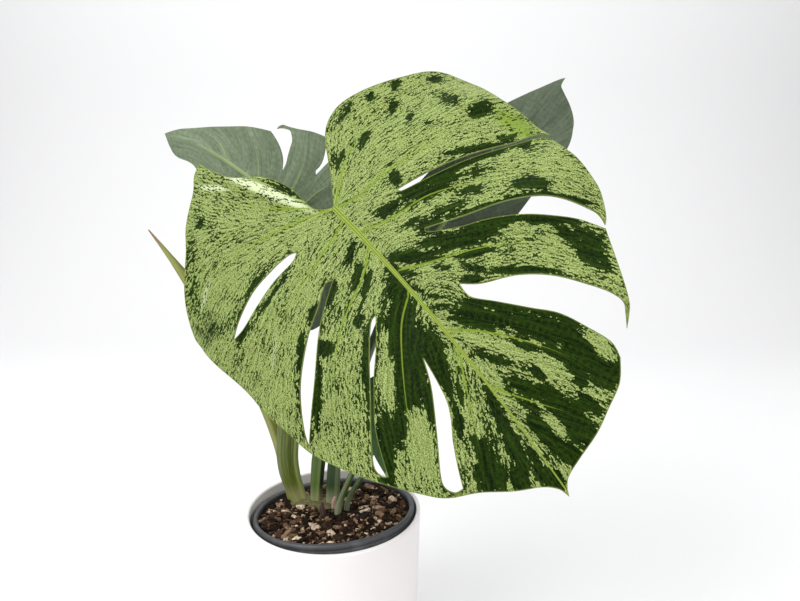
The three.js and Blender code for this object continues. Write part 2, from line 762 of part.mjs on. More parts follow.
// The crown: a low oval stump, with a socket for each stalk.
function crownGeometry(grown = 0) {
  const half = (crown.top - crown.bottom) / 2 + grown;
  return new THREE.SphereGeometry(1, 18, 8)
    .rotateX(Math.PI / 2)
    .scale(crown.length / 2 + grown, crown.width / 2 + grown, half)
    .rotateZ(THREE.MathUtils.degToRad(crown.turn))
    .translate(...crown.centre, (crown.top + crown.bottom) / 2);
}

function crownOf() {
  let solid = solidOf(crownGeometry());
  for (const stalk of Object.values(stalks)) {
    solid = solid.subtract(solidOf(stalkGeometry(stalk, clearance)));
  }
  return meshOf("stem_crown", geometryOf(solid), "crown");
}

// The whole plant in its pots
const plant = new THREE.Group();
const nursery = new THREE.Group();
const leaning = Math.acos(Math.cos(potTilt) * Math.cos(potLean));
const lifted = planterFloor + clearance + potBaseRadius * Math.sin(leaning);
nursery.position.set(potShift.x, potShift.y, lifted);
nursery.rotation.set(potLean, potTilt, 0);
nursery.updateMatrix();

const stems = [crownGeometry(clearance)];
for (const stalk of Object.values(stalks)) stems.push(stalkGeometry(stalk, clearance));

nursery.add(nurseryPotOf(), pottingMixOf(stems, nursery.matrix.clone().invert()));
plant.add(planterOf(), nursery, crownOf());
for (const [name, { blade, finish }] of Object.entries(blades)) {
  plant.add(meshOf(name, bladeGeometry(blade), finish));
}
for (const [name, stalk] of Object.entries(stalks)) {
  plant.add(meshOf(name, seatedStalk(stalk), stalk.finish));
}

export default plant;
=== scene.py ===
import math
import random

import bpy
import numpy as np
from mathutils import Matrix, Vector, kdtree, noise
from mathutils.geometry import delaunay_2d_cdt


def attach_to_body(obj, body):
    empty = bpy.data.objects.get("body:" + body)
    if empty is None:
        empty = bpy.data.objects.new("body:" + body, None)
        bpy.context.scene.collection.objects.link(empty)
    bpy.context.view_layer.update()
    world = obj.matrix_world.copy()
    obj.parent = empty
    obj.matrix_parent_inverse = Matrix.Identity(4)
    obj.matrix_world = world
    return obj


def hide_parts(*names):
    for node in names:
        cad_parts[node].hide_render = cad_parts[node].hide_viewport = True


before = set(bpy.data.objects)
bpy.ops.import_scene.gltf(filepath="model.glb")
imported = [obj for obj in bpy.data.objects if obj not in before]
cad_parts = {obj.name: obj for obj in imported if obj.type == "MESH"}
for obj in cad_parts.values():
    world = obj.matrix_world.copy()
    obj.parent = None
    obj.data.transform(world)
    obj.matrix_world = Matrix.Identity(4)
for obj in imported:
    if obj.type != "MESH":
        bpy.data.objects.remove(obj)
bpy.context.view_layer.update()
bpy.ops.object.select_all(action="DESELECT")
milli = 0.001  # shapes below are in millimetres


# Camera, floor and lights
studio = {
    "cameraPlace": (0.0631, -0.5514, 0.4463),
    "cameraPitch": 10,
    "lens": 28.08,
    "sensor": 36,
    "floorTone": (0.76, 0.76, 0.765),
    "worldTone": (0.97, 0.985, 1.0),
    "worldStrength": 0.17,
    "lights": {
        "key": {"place": (-1.5, -1.1, 1.9), "size": 1.3, "power": 32, "aim": (0.03, 0, 0.3)},
        "fill": {"place": (1.5, -1.5, 1.0), "size": 1.8, "power": 7, "aim": (0.03, 0, 0.3)},
        "top": {"place": (0.3, 0.5, 2.3), "size": 1.4, "power": 6, "aim": (0.03, 0, 0.3)},
        "backdrop": {"place": (0, 0.6, 2.0), "size": 4.5, "power": 78, "aim": (0, 2.1, 0.6)},
    },
}


def makeCamera():
    lensData = bpy.data.cameras.new("camera")
    lensData.lens = studio["lens"]
    lensData.sensor_width = studio["sensor"]
    lensData.clip_start = 0.01
    camera = bpy.data.objects.new("camera", lensData)
    camera.location = studio["cameraPlace"]
    camera.rotation_euler = (math.radians(90 - studio["cameraPitch"]), 0, 0)
    bpy.context.scene.collection.objects.link(camera)
    bpy.context.scene.camera = camera
    bpy.context.scene.view_settings.view_transform = "Standard"


def makeWorld():
    world = bpy.data.worlds.new("studio")
    world.use_nodes = True
    sky = world.node_tree.nodes["Background"]
    sky.inputs["Color"].default_value = (*studio["worldTone"], 1)
    sky.inputs["Strength"].default_value = studio["worldStrength"]
    bpy.context.scene.world = world


def softLight(name, values):
    lamp = bpy.data.lights.new(name, "AREA")
    lamp.shape = "SQUARE"
    lamp.size = values["size"]
    lamp.energy = values["power"]
    light = bpy.data.objects.new(name, lamp)
    light.location = values["place"]
    ahead = Vector(values["aim"]) - Vector(values["place"])
    light.rotation_euler = ahead.to_track_quat("-Z", "Y").to_euler()
    bpy.context.scene.collection.objects.link(light)


# Shader maths, written as Python expressions
class Link:
    def __init__(self, graph, socket):
        self.graph = graph
        self.socket = socket

    def math(self, operation, *others):
        return self.graph.node("ShaderNodeMath", {"operation": operation}, [self, *others])

    def __add__(self, other):
        return self.math("ADD", other)

    __radd__ = __add__

    def __mul__(self, other):
        return self.math("MULTIPLY", other)

    __rmul__ = __mul__

    def __sub__(self, other):
        return self.math("SUBTRACT", other)

    def __rsub__(self, other):
        return self.graph.node("ShaderNodeMath", {"operation": "SUBTRACT"}, [other, self])

    def __truediv__(self, other):
        return self.math("DIVIDE", other)

    def sine(self):
        return self.math("SINE")

    def highest(self, other):
        return self.math("MAXIMUM", other)

    # 0 below low and 1 above high, smooth between; low may be above high
    def step(self, low, high):
        settings = {"interpolation_type": "SMOOTHSTEP", "clamp": True}
        if low < high:
            return self.graph.node("ShaderNodeMapRange", settings, [self, low, high, 0.0, 1.0])
        return self.graph.node("ShaderNodeMapRange", settings, [self, high, low, 1.0, 0.0])


class Graph:
    def __init__(self, name):
        self.material = bpy.data.materials.new(name)
        self.material.use_nodes = True
        self.tree = self.material.node_tree
        self.shader = self.tree.nodes["Principled BSDF"]

    def node(self, kind, settings=None, values=(), out=0):
        made = self.tree.nodes.new(kind)
        for key, value in (settings or {}).items():
            setattr(made, key, value)
        pairs = values.items() if isinstance(values, dict) else enumerate(values)
        for key, value in pairs:
            self.feed(made.inputs[key], value)
        return Link(self, made.outputs[out])

    def feed(self, socket, value):
        if isinstance(value, Link):
            self.tree.links.new(value.socket, socket)
        elif isinstance(value, tuple) and len(value) == 3 and socket.type == "RGBA":
            socket.default_value = (*value, 1)
        else:
            socket.default_value = value

    def attribute(self, name):
        return self.node("ShaderNodeAttribute", {"attribute_name": name}, out="Fac")

    def place(self):
        return self.node("ShaderNodeTexCoord", out="Object")

    def vector(self, x, y, z=0.0):
        return self.node("ShaderNodeCombineXYZ", None, [x, y, z])

    def noise(self, where, scale, detail=2.0, roughness=0.5):
        values = {"Vector": where, "Scale": scale, "Detail": detail, "Roughness": roughness}
        return self.node("ShaderNodeTexNoise", None, values)

    def mix(self, factor, first, second):
        values = {0: factor, 6: first, 7: second}
        return self.node("ShaderNodeMix", {"data_type": "RGBA"}, values, out=2)

    def bump(self, height, strength, distance):
        values = {"Strength": strength, "Distance": distance, "Height": height}
        return self.node("ShaderNodeBump", None, values)

    def finish(self, **values):
        for key, value in values.items():
            self.feed(self.shader.inputs[key.replace("_", " ")], value)
        return self.material


# Objects
def objectOf(name, points, faces, materials=()):
    mesh = bpy.data.meshes.new(name)
    mesh.from_pydata([tuple(p) for p in points], [], [tuple(f) for f in faces])
    mesh.update()
    made = bpy.data.objects.new(name, mesh)
    bpy.context.scene.collection.objects.link(made)
    for material in materials:
        mesh.materials.append(material)
    return made


# Hands a piece to the frame: its body, and the solids it stands in for, which are hidden
def attach(made, nodes):
    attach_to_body(made, "root")
    if nodes:
        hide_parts(*nodes)


# Makes a piece the only selected and active one
def pick(made):
    bpy.ops.object.select_all(action="DESELECT")
    made.select_set(True)
    bpy.context.view_layer.objects.active = made


def applyAll(made):
    pick(made)
    for modifier in list(made.modifiers):
        bpy.ops.object.modifier_apply(modifier=modifier.name)


def writeAttribute(mesh, name, values):
    layer = mesh.attributes.new(name, "FLOAT", "POINT")
    layer.data.foreach_set("value", np.asarray(values, np.float32))


def vertexArray(mesh):
    flat = np.zeros(len(mesh.vertices) * 3)
    mesh.vertices.foreach_get("co", flat)
    return flat.reshape(-1, 3)


def unit(vectors):
    return vectors / np.maximum(np.linalg.norm(vectors, axis=-1, keepdims=True), 1e-12)


# A smooth line through flat points, with about one point each step
def smoothLine(stretch, step):
    given = np.array(stretch, float)
    padded = np.vstack([given[0], given, given[-1]])
    shares = np.linspace(0, 1, 13)[:-1, None]
    dense = []
    for a, b, c, d in zip(padded, padded[1:], padded[2:], padded[3:]):
        start, end = (c - a) / 2, (d - b) / 2
        cubic = 2 * b - 2 * c + start + end
        square = -3 * b + 3 * c - 2 * start - end
        dense.append(cubic * shares**3 + square * shares**2 + start * shares + b)
    dense = np.vstack([*dense, given[-1]])
    lengths = np.r_[0, np.cumsum(np.linalg.norm(np.diff(dense, axis=0), axis=1))]
    count = max(2, round(lengths[-1] / step) + 1)
    at = np.linspace(0, lengths[-1], count)
    return np.column_stack([np.interp(at, lengths, dense[:, i]) for i in (0, 1)])


# The gaps from points to segments, some points at a time
def gapsTo(points, starts, ends):
    along = ends - starts
    square = np.maximum((along**2).sum(1), 1e-9)
    for i in range(0, len(points), 800):
        some = points[i:i + 800, None] - starts[None]
        share = np.clip((some * along).sum(2) / square, 0, 1)
        yield np.linalg.norm(some - share[..., None] * along, axis=2)


# The smallest gap from each point to any segment, and that segment's number
def nearest(points, starts, ends):
    found = [(gap.min(1), gap.argmin(1)) for gap in gapsTo(points, starts, ends)]
    return [np.concatenate(column) for column in zip(*found)]


def treeOf(points):
    tree = kdtree.KDTree(len(points))
    for i, point in enumerate(points):
        tree.insert((point[0], point[1], 0), i)
    tree.balance()
    return tree


def clearOf(tree, points, room):
    return np.array([tree.find((x, y, 0))[2] > room for x, y in points], bool)


# Which points lie inside the outer loop and outside the holes
def insideLoops(points, loops):
    inside = np.zeros(len(points), bool)
    for loop in loops:
        after = np.roll(loop, -1, axis=0)
        for (ax, ay), (bx, by) in zip(loop, after):
            if ay == by:
                continue
            crosses = (ay > points[:, 1]) != (by > points[:, 1])
            inside ^= crosses & (points[:, 0] < (bx - ax) * (points[:, 1] - ay) / (by - ay) + ax)
    return inside


# Thickness in millimetres, uneven spacing of the fine points, rounds of smoothing, and the
# angle in degrees past which an edge stays sharp
bladeSheet = {"thickness": 1.0, "seed": 5, "shake": 0.12, "flowRounds": 900, "crease": 50}

# The blades. Outlines are [u, v] in millimetres: u runs along the midrib from the stalk, and v
# out to its upper or lower side. Each list is one smooth stretch, with a corner at its ends.
# The points were picked by eye in the photograph and turned into these millimetres by a
# separate calculation.
frontBlade = {
    "midrib": [(6, -12, 432), (70, -66, 375), (127, -111, 311), (182, -142, 236)],
    "side": (0.774, 0.087, 0.629),
    "rise": 8,
    "droop": 0.2,
    "wave": {"height": 5, "length": 92, "phase": 0.6, "start": 60},
    "swell": 2.2,
    "rib": {"top": 0.8, "bottom": 3, "width": 4},
    "grain": 2.2,
    "margin": [
        [(0, 0), (-26, 19), (-60, 41), (-73, 62), (-72, 86), (-59, 128), (-46, 162), (-25, 174),
         (14, 176), (40, 183), (58, 184), (69, 187)],
        [(69, 187), (64, 176), (60, 152), (52, 126), (44, 97), (38, 72), (33, 49)],
        [(33, 49), (37, 52), (44, 79), (50, 106), (57, 133), (64, 158), (68, 174), (74, 182)],
        [(74, 182), (92, 181), (108, 180), (130, 176), (143, 169), (154, 160), (159, 153.5)],
        [(159, 153.5), (151, 156), (143, 154), (125, 141), (112, 125), (100, 101), (89, 71),
         (76, 42)],
        [(76, 42), (80, 42), (93, 61), (103, 82), (116, 104), (131, 124), (145, 140),
         (161.5, 151)],
        [(161.5, 151), (173, 144), (196, 131), (214, 121), (221, 114.5), (228, 106)],
        [(228, 106), (219, 113), (212, 117), (202, 114), (188, 105), (168, 90), (152, 70),
         (140, 45), (129, 32)],
        [(129, 32), (142, 32), (157, 44), (176, 60), (192, 74), (211, 83), (229, 90), (241, 88)],
        [(241, 88), (254, 76), (263, 59), (272, 42), (279, 22), (285, 8), (291, 2), (297, -1)],
        [(297, -1), (289, -4), (281, -13), (272, -31), (259, -52), (250, -72), (239, -85),
         (217, -104), (189, -125), (153, -147), (120, -154), (80, -163), (32, -171), (-5, -176),
         (-28, -178), (-51, -163), (-78, -128), (-103, -109), (-123, -83), (-134, -72),
         (-139, -60)],
        [(-139, -60), (-125, -57), (-96, -46), (-75, -26), (-46, -15), (-13, -13), (0, 0)],
    ],
    "holes": [
        [
            [(10, -49), (14, -57), (15, -80), (19, -104), (23, -127), (22, -142)],
            [(22, -142), (14, -126), (6, -101), (5, -78), (6, -58), (10, -49)],
        ],
        [
            [(55, -42), (65, -57), (81, -78), (110, -105), (131, -128), (146, -145)],
            [(146, -145), (132, -138), (101, -114), (77, -88), (63, -64), (53, -49), (55, -42)],
        ],
        [
            [(104, -34), (123, -48), (141, -64), (150, -71), (167, -83.5), (180, -90.5),
             (198, -97), (210, -101)],
            [(210, -101), (207, -105), (199, -106), (190, -102), (178, -94.5), (167, -87),
             (148, -73), (126, -57), (107, -41), (104, -34)],
        ],
        [
            [(156, -26), (172, -28), (191, -31.5), (204, -37), (219, -46), (236, -54),
             (250, -59.5)],
            [(250, -59.5), (249, -66), (242, -70), (233, -67.5), (214, -56), (189, -41),
             (173, -32.5), (156, -26)],
        ],
    ],
    # each vein with the place where its flow starts on the midrib
    "veins": [
        (4, [(4, 4), (11, 24), (12, 50), (17, 87), (22, 128), (34, 164)]),
        (-30, [(0, 3), (-18, 26), (-36, 62), (-34, 104)]),
        (36, [(36, 2), (48, 29), (55, 64), (72, 102), (96, 145), (118, 168)]),
        (85, [(85, 2), (99, 26), (120, 68), (146, 104), (182, 128)]),
        (149, [(149, 1), (168, 22), (202, 48), (236, 68)]),
        (205, [(205, 1), (232, 20), (258, 40)]),
        (-15, [(-1, -6), (-15, -35), (-30, -70), (-46, -110), (-44, -148)]),
        (-70, [(-3, -4), (-36, -34), (-78, -62), (-112, -74)]),
        (19, [(16, -1), (19, -6), (32, -46), (43, -88), (62, -132)]),
        (56, [(52, -1), (56, -6), (70, -22), (92, -62), (132, -104), (170, -122)]),
        (109, [(104, -1), (109, -6), (128, -27), (176, -58), (222, -78)]),
        (172, [(167, -1), (172, -4), (205, -20), (245, -38)]),
    ],
    "sinus": [
        (-95, [(-30, 22), (-60, 41), (-73, 62), (-70, 90)]),
        (-120, [(-30, -14), (-75, -26), (-125, -57)]),
    ],
    # the flow along the slots' sides: by stretch of the margin, then by hole
    "slotFlow": {1: 20, 2: 20, 4: 60, 5: 60, 7: 117, 8: 117},
    "holeFlow": [2, 38, 82, 140],
    "tipLine": [(258, 0), (290, 0)],
    # ridges as ovals: u, v, half length, half width, turn, height
    "folds": [(-68, -38, 44, 6, 20, 4), (20, 160, 60, 12, 8, 2.5)],
}

leftBlade = {
    "midrib": [(-39, 60, 421), (-80, 72, 459), (-125, 90, 492), (-173, 100, 503)],
    "side": (0.5, -0.3, 0.8),
    "rise": 5,
    "droop": 0.27,
    "wave": {"height": 3, "length": 70, "phase": 2, "start": 40},
    "swell": 2,
    "rib": {"top": 0.4, "bottom": 2, "width": 4},
    "grain": 2.4,
    "margin": [
        [(0, 0), (-26, 10), (-50, 30), (-62, 58), (-52, 84), (-28, 95), (-10, 95), (-2, 90)],
        [(-2, 90), (0, 80), (2, 69), (3.5, 62), (4.5, 56), (6, 48)],
        [(6, 48), (8, 51), (7, 57), (7, 63), (8, 69), (10, 77), (13, 87)],
        [(13, 87), (25, 82), (39, 73), (48, 68), (53, 66), (56, 62), (57, 58)],
        [(57, 58), (53, 62), (48, 65), (44, 66), (39.5, 60), (38.5, 52), (37, 42), (35.5, 35),
         (35.5, 26)],
        [(35.5, 26), (40, 36), (46, 43), (53, 48), (62, 52)],
        [(62, 52), (82, 43), (104, 30), (133, 15), (150, 8), (165, 0)],
        [(165, 0), (160, -13), (151, -21), (126, -24), (104, -48), (80, -68), (48, -82),
         (26, -82)],
        [(26, -82), (20, -64), (6, -40), (2, -22)],
        [(2, -22), (-14, -24), (-26, -30), (-44, -46), (-62, -67), (-80, -81), (-88, -66),
         (-88, -44), (-78, -20), (-52, -8), (-26, -6), (0, 0)],
    ],
    "holes": [],
    "veins": [
        (4, [(4, 3), (-0.5, 19), (-4, 35), (-10, 51), (-14, 74)]),
        (-25, [(-3, 3), (-24, 26), (-38, 56)]),
        (22, [(22, 2), (17.5, 22), (18.5, 38), (21.5, 56), (26, 68)]),
        (50, [(50, 2), (62, 22), (76, 36)]),
        (88, [(88, 2), (104, 12), (118, 16)]),
        (-20, [(-3, -3), (-30, -30), (-56, -64)]),
        (30, [(30, -2), (30, -30), (38, -60)]),
        (62, [(62, -2), (72, -26), (92, -44)]),
    ],
    "sinus": [(-60, [(-30, 14), (-62, 58)]), (-60, [(-30, -7), (-78, -20)])],
    "slotFlow": {1: 12, 2: 12, 4: 36, 5: 36, 8: 5},
    "holeFlow": [],
    "tipLine": [(130, 3), (160, 0)],
}

rightBlade = {
    "midrib": [(75, 45, 377), (123, 55, 440), (172, 66, 500), (223, 85, 553)],
    "side": (0.78, 0, -0.62),
    "rise": 6,
    "droop": 0.25,
    "wave": {"height": 2.5, "length": 80, "phase": 0.4, "start": 25},
    "swell": 1.6,
    "rib": {"top": 0.4, "bottom": 1.8, "width": 4},
    "grain": 2.4,
    "margin": [
        [(0, 0), (-14, 8), (-28, 18), (-33, 28), (-22, 37), (6, 42), (48, 53), (98, 52),
         (140, 50), (184, 48), (205, 39), (215, 30), (221, 19), (224, 9), (226.5, 2), (235, 0)],
        [(235, 0), (228, -4), (213, -10.5), (196, -18), (170, -28), (130, -38), (81, -41),
         (40, -44), (2, -42), (-22, -34), (-30, -20), (-16, -8), (0, 0)],
    ],
    "holes": [],
    "veins": [
        (0, [(0, 3), (-6, 22), (6, 40)]),
        (30, [(30, 2), (44, 22), (70, 42)]),
        (74, [(74, 2), (92, 20), (122, 38)]),
        (122, [(122, 2), (142, 18), (172, 32)]),
        (0, [(0, -3), (-2, -18), (12, -32)]),
        (30, [(30, -2), (44, -16), (68, -30)]),
        (74, [(74, -2), (90, -14), (120, -26)]),
        (122, [(122, -2), (140, -10), (164, -18)]),
    ],
    "sinus": [(-30, [(-14, 8), (-33, 28)]), (-30, [(-16, -8), (-30, -20)])],
    "slotFlow": {},
    "holeFlow": [],
    "tipLine": [(180, 4), (230, 0)],
}

smallHeart = {
    "rise": 10,
    "droop": 0.7,
    "wave": {"height": 1, "length": 40, "phase": 0, "start": 10},
    "swell": 0,
    "rib": {"top": 0.2, "bottom": 0.9, "width": 3},
    "grain": 1.8,
    "margin": [
        [(0, 0), (-9, 6), (-13, 14), (-6, 23), (14, 28), (38, 25), (60, 15), (80, 0)],
        [(80, 0), (60, -15), (38, -25), (14, -28), (-6, -23), (-13, -14), (-9, -6), (0, 0)],
    ],
    "holes": [],
    "veins": [
        (8, [(8, 1), (16, 12), (30, 22)]),
        (28, [(28, 1), (38, 9), (52, 15)]),
        (8, [(8, -1), (16, -12), (30, -22)]),
        (28, [(28, -1), (38, -9), (52, -15)]),
    ],
    "sinus": [(-12, [(-9, 6), (-13, 14)]), (-12, [(-9, -6), (-13, -14)])],
    "slotFlow": {},
    "holeFlow": [],
    "tipLine": [(60, 0), (78, 0)],
}
lowFrontBlade = {
    **smallHeart,
    "midrib": [(56, -25, 275), (60, -38, 256), (58, -42, 226), (52, -39, 202)],
    "side": (1, 0.1, 0),
}
lowBackBlade = {
    **smallHeart,
    "midrib": [(58, 18, 246), (72, 32, 236), (80, 40, 214), (78, 40, 184)],
    "side": (-0.8, 0.5, -0.1),
}

# Dark areas of the marbling: u, v, half length, half width, turn, strength. They were read
# by eye in the photograph, and a separate calculation turned all but the strengths into the
# blade's own millimetres and degrees.
darkAreas = [
    # first upper lobe
    (21, 153, 12, 7, 77, 1), (-6, 144, 7, 12, 90, 0.8), (-40, 153, 6, 5, 59, 0.8),
    (52, 147, 5, 3.5, 59, 1), (-16, 104, 6, 4, -71, 0.9), (-38, 102, 8, 3.5, -53, 0.9),
    (-54, 120, 8, 3, -69, 0.8), (-28, 62, 9, 4.5, -60, 0.95), (-60, 95, 5, 3.5, -66, 0.8),
    (-33, 51, 4, 2, -69, 0.9), (-30, 36, 7, 2.5, -55, 0.9), (2, 110, 3, 3, 70, 0.8),
    (9, 60, 4, 1.5, 87, 0.9), (-64, 68, 7, 4.5, -85, 0.6),
    # along the first slot
    (46, 121, 29, 2.5, 67, 1), (54, 153, 10, 2, 82, 0.8), (23, 54, 5, 8.5, 69, 1),
    (40, 31, 12, 5.5, 83, 1), (44, 57, 16, 7, 82, 1), (49, 87, 18, 5, 80, 1),
    (56, 121, 19, 4, 75, 0.9),
    # second upper lobe and the second slot
    (101, 130, 13, 7, 47, 1), (74, 90, 8, 4, 64, 0.95), (64, 111, 7, 4.5, 63, 0.55),
    (99, 97, 30, 2.5, 65, 0.95), (126, 143, 28, 2.5, 51, 0.9), (76, 45, 10, 7, 67, 0.9),
    (91, 44, 16, 4, 59, 0.95), (108, 80, 23, 4, 64, 0.95), (132, 119, 26, 3.5, 54, 0.95),
    # third upper lobe
    (163, 130, 16, 11.5, 8, 1), (181, 127, 12, 5.5, -20, 1), (63, 36, 8, 4, 76, 0.7),
    (85, 18, 22, 5, 47, 1), (117, 56, 15, 3, 62, 0.95), (101, 48, 12, 3, 62, 0.9),
    (150, 74, 21, 3, 52, 0.95), (128, 49, 8, 2.5, 43, 0.9), (133, 41, 8, 4, 51, 0.95),
    (109, 30, 8, 2.5, 48, 0.6), (94, 7, 8, 2, 40, 0.9), (109, 5, 6, 2, 35, 0.85),
    (124, 12, 11, 2, 38, 0.85),
    # last upper lobe
    (132, 9, 13, 2.5, 47, 0.8), (163, 32, 31, 7.5, 45, 1), (191, 57, 34, 9.5, 38, 1),
    (224, 70, 16, 13, 7, 1), (244, 74, 10, 11, -31, 1), (154, 37, 22, 3, 44, 0.95),
    (185, 13, 15, 5, 41, 0.75), (196, 39, 11, 3, 35, 0.95), (212, 53, 11, 3.5, 24, 1),
    (229, 56, 6, 3.5, 17, 0.95), (215, 34, 8, 3.5, 12, 0.9), (238, 54, 6, 3.5, 18, 0.9),
    (218, 19, 14, 4.5, 29, 0.95), (232, 31, 11, 4.5, 25, 1), (250, 33, 15, 6.5, 26, 1),
    (229, 14, 14, 3.5, 23, 0.95), (253, 50, 9, 4, 13, 0.85),
    # towards the tip
    (263, 34, 16, 8, 5, 1), (255, 12, 18, 4.5, 6, 1), (275, 18, 12, 5.5, -7, 1),
    (282, -1, 8, 4.5, -8, 1), (221, -7, 21, 3.5, -13, 1), (243, -11, 24, 4.5, -15, 1),
    (256, -4, 21, 3, -6, 0.9), (239, -30, 18, 7, -22, 1), (256, -38, 11, 10, -26, 1),
    (267, -22, 10, 5.5, -16, 0.95), (274, -7, 9, 4.5, -8, 0.9), (208, 11, 13, 2, -10, 0.9),
    (243, 14, 16, 2.5, 1, 0.9), (168, -19, 22, 4.5, -22, 1), (211, -35, 12, 3, -27, 1),
    (195, -21, 9, 2, -22, 0.8),
    # lower lobes beside the midrib
    (107, -11, 25, 11, -27, 1), (142, -26, 24, 15.5, -33, 1), (164, -48, 26, 15.5, -35, 1),
    (183, -72, 18, 11, -32, 1), (156, -16, 20, 7.5, -28, 1), (182, -38, 16, 7, -33, 1),
    (196, -92, 27, 6.5, -32, 1), (90, -1, 14, 6.5, -11, 1), (47, -17, 11, 3.5, -56, 1),
    (66, -25, 11, 3.5, -56, 1), (77, -23, 12, 3.5, -49, 1), (89, -37, 8, 2.5, -47, 0.8),
    # along the lower slots
    (63, -50, 11, 3.5, -61, 1), (64, -71, 9, 4, -71, 0.9), (96, -82, 7, 6, -48, 0.95),
    (97, -46, 7, 4.5, -31, 0.75), (128, -62, 24, 2.5, -36, 0.9), (80, -99, 20, 3.5, -41, 0.9),
    (124, -113, 33, 3, -43, 0.9), (23, -88, 34, 2, -82, 0.85), (0, -94, 33, 2.5, -87, 0.7),
    (27, -133, 11, 3, -82, 0.8), (-89, -97, 4, 6, 37, 0.8), (-48, -152, 8, 26, 45, 0.45),
    (-11, -157, 20, 13, 38, 0.5), (-48, -19, 24, 4.5, 18, 0.8),
    # wider bands beside the upper slots, and clusters of specks on the rounded lobes
    (53, 71, 28, 8, 78, 0.75), (63, 100, 24, 5.5, 77, 0.6), (70, 158, 16, 6, 46, 0.6),
    (75, 64, 14, 4.5, 74, 0.7), (106, 64, 23, 6.5, 63, 0.95), (147, 122, 9, 6, 21, 0.9),
    (167, 126, 23, 10, -8, 1), (-63, 61, 11, 5.5, -15, 0.45), (-65, 75, 7, 5, 19, 0.5),
    (-32, 31, 10, 3.5, -27, 0.7), (-72, -127, 37, 7, -52, 0.4), (-33, -163, 32, 12, -6, 0.4),
    (6, -137, 24, 9, 72, 0.45), (110, -122, 34, 5.5, -28, 0.4), (117, -24, 21, 9.5, -24, 0.8),
    (178, 49, 36, 6.5, 41, 0.9), (6, -97, 19, 9.5, -75, 0.35),
]


# Ovals that steer the marbling: whole dark areas, darker and mint parts, bright yellow-green painted
# sheen, and pale painted highlights
marbleAreas = {
    "dark": darkAreas,
    "shade": [
        (238, 0, 66, 90, 0, 0.34), (150, -60, 50, 34, -35, 0.3), (115, 52, 50, 22, 57, 0.2),
        (98, 100, 60, 20, 60, 0.18), (188, 90, 40, 16, 35, 0.16), (90, -60, 60, 16, -45, 0.2),
        (-90, -80, 30, 50, 30, 0.14), (-50, 110, 30, 60, 0, 0.12),
    ],
    "mint": [
        (155, -59, 24, 5, -29, 1.3), (205, -66, 24, 9, -21, 1.3), (226, 82, 12, 5, 8, 1.3),
        (186, 24, 20, 5, 37, 0.8), (213, 41, 20, 5, 27, 0.8), (203, -41, 30, 6, -19, 0.8),
        (224, -25, 24, 4.5, -9, 0.7), (246, -2, 22, 4, 6, 0.6), (247, 20, 14, 4, 8, 0.6),
        (205, 8, 30, 7, 6, 0.5),
    ],
    # painted sheen: ovals where the mint turns bright yellow-green as the lobes catch the light
    "glow": [(48, 168, 24, 12, 9, 0.8), (-56, -150, 30, 20, 0, 0.3), (-64, -34, 37, 7, 19, 0.4)],
    # painted highlights: pale bands where the lobes catch the light
    "pale": [
        (-60, -33, 56, 5, 20, 1), (-108, -66, 22, 3.5, 33, 0.8), (-40, -140, 22, 4, -70, 0.6),
        (60, -120, 26, 4, -50, 0.5),
    ],
}


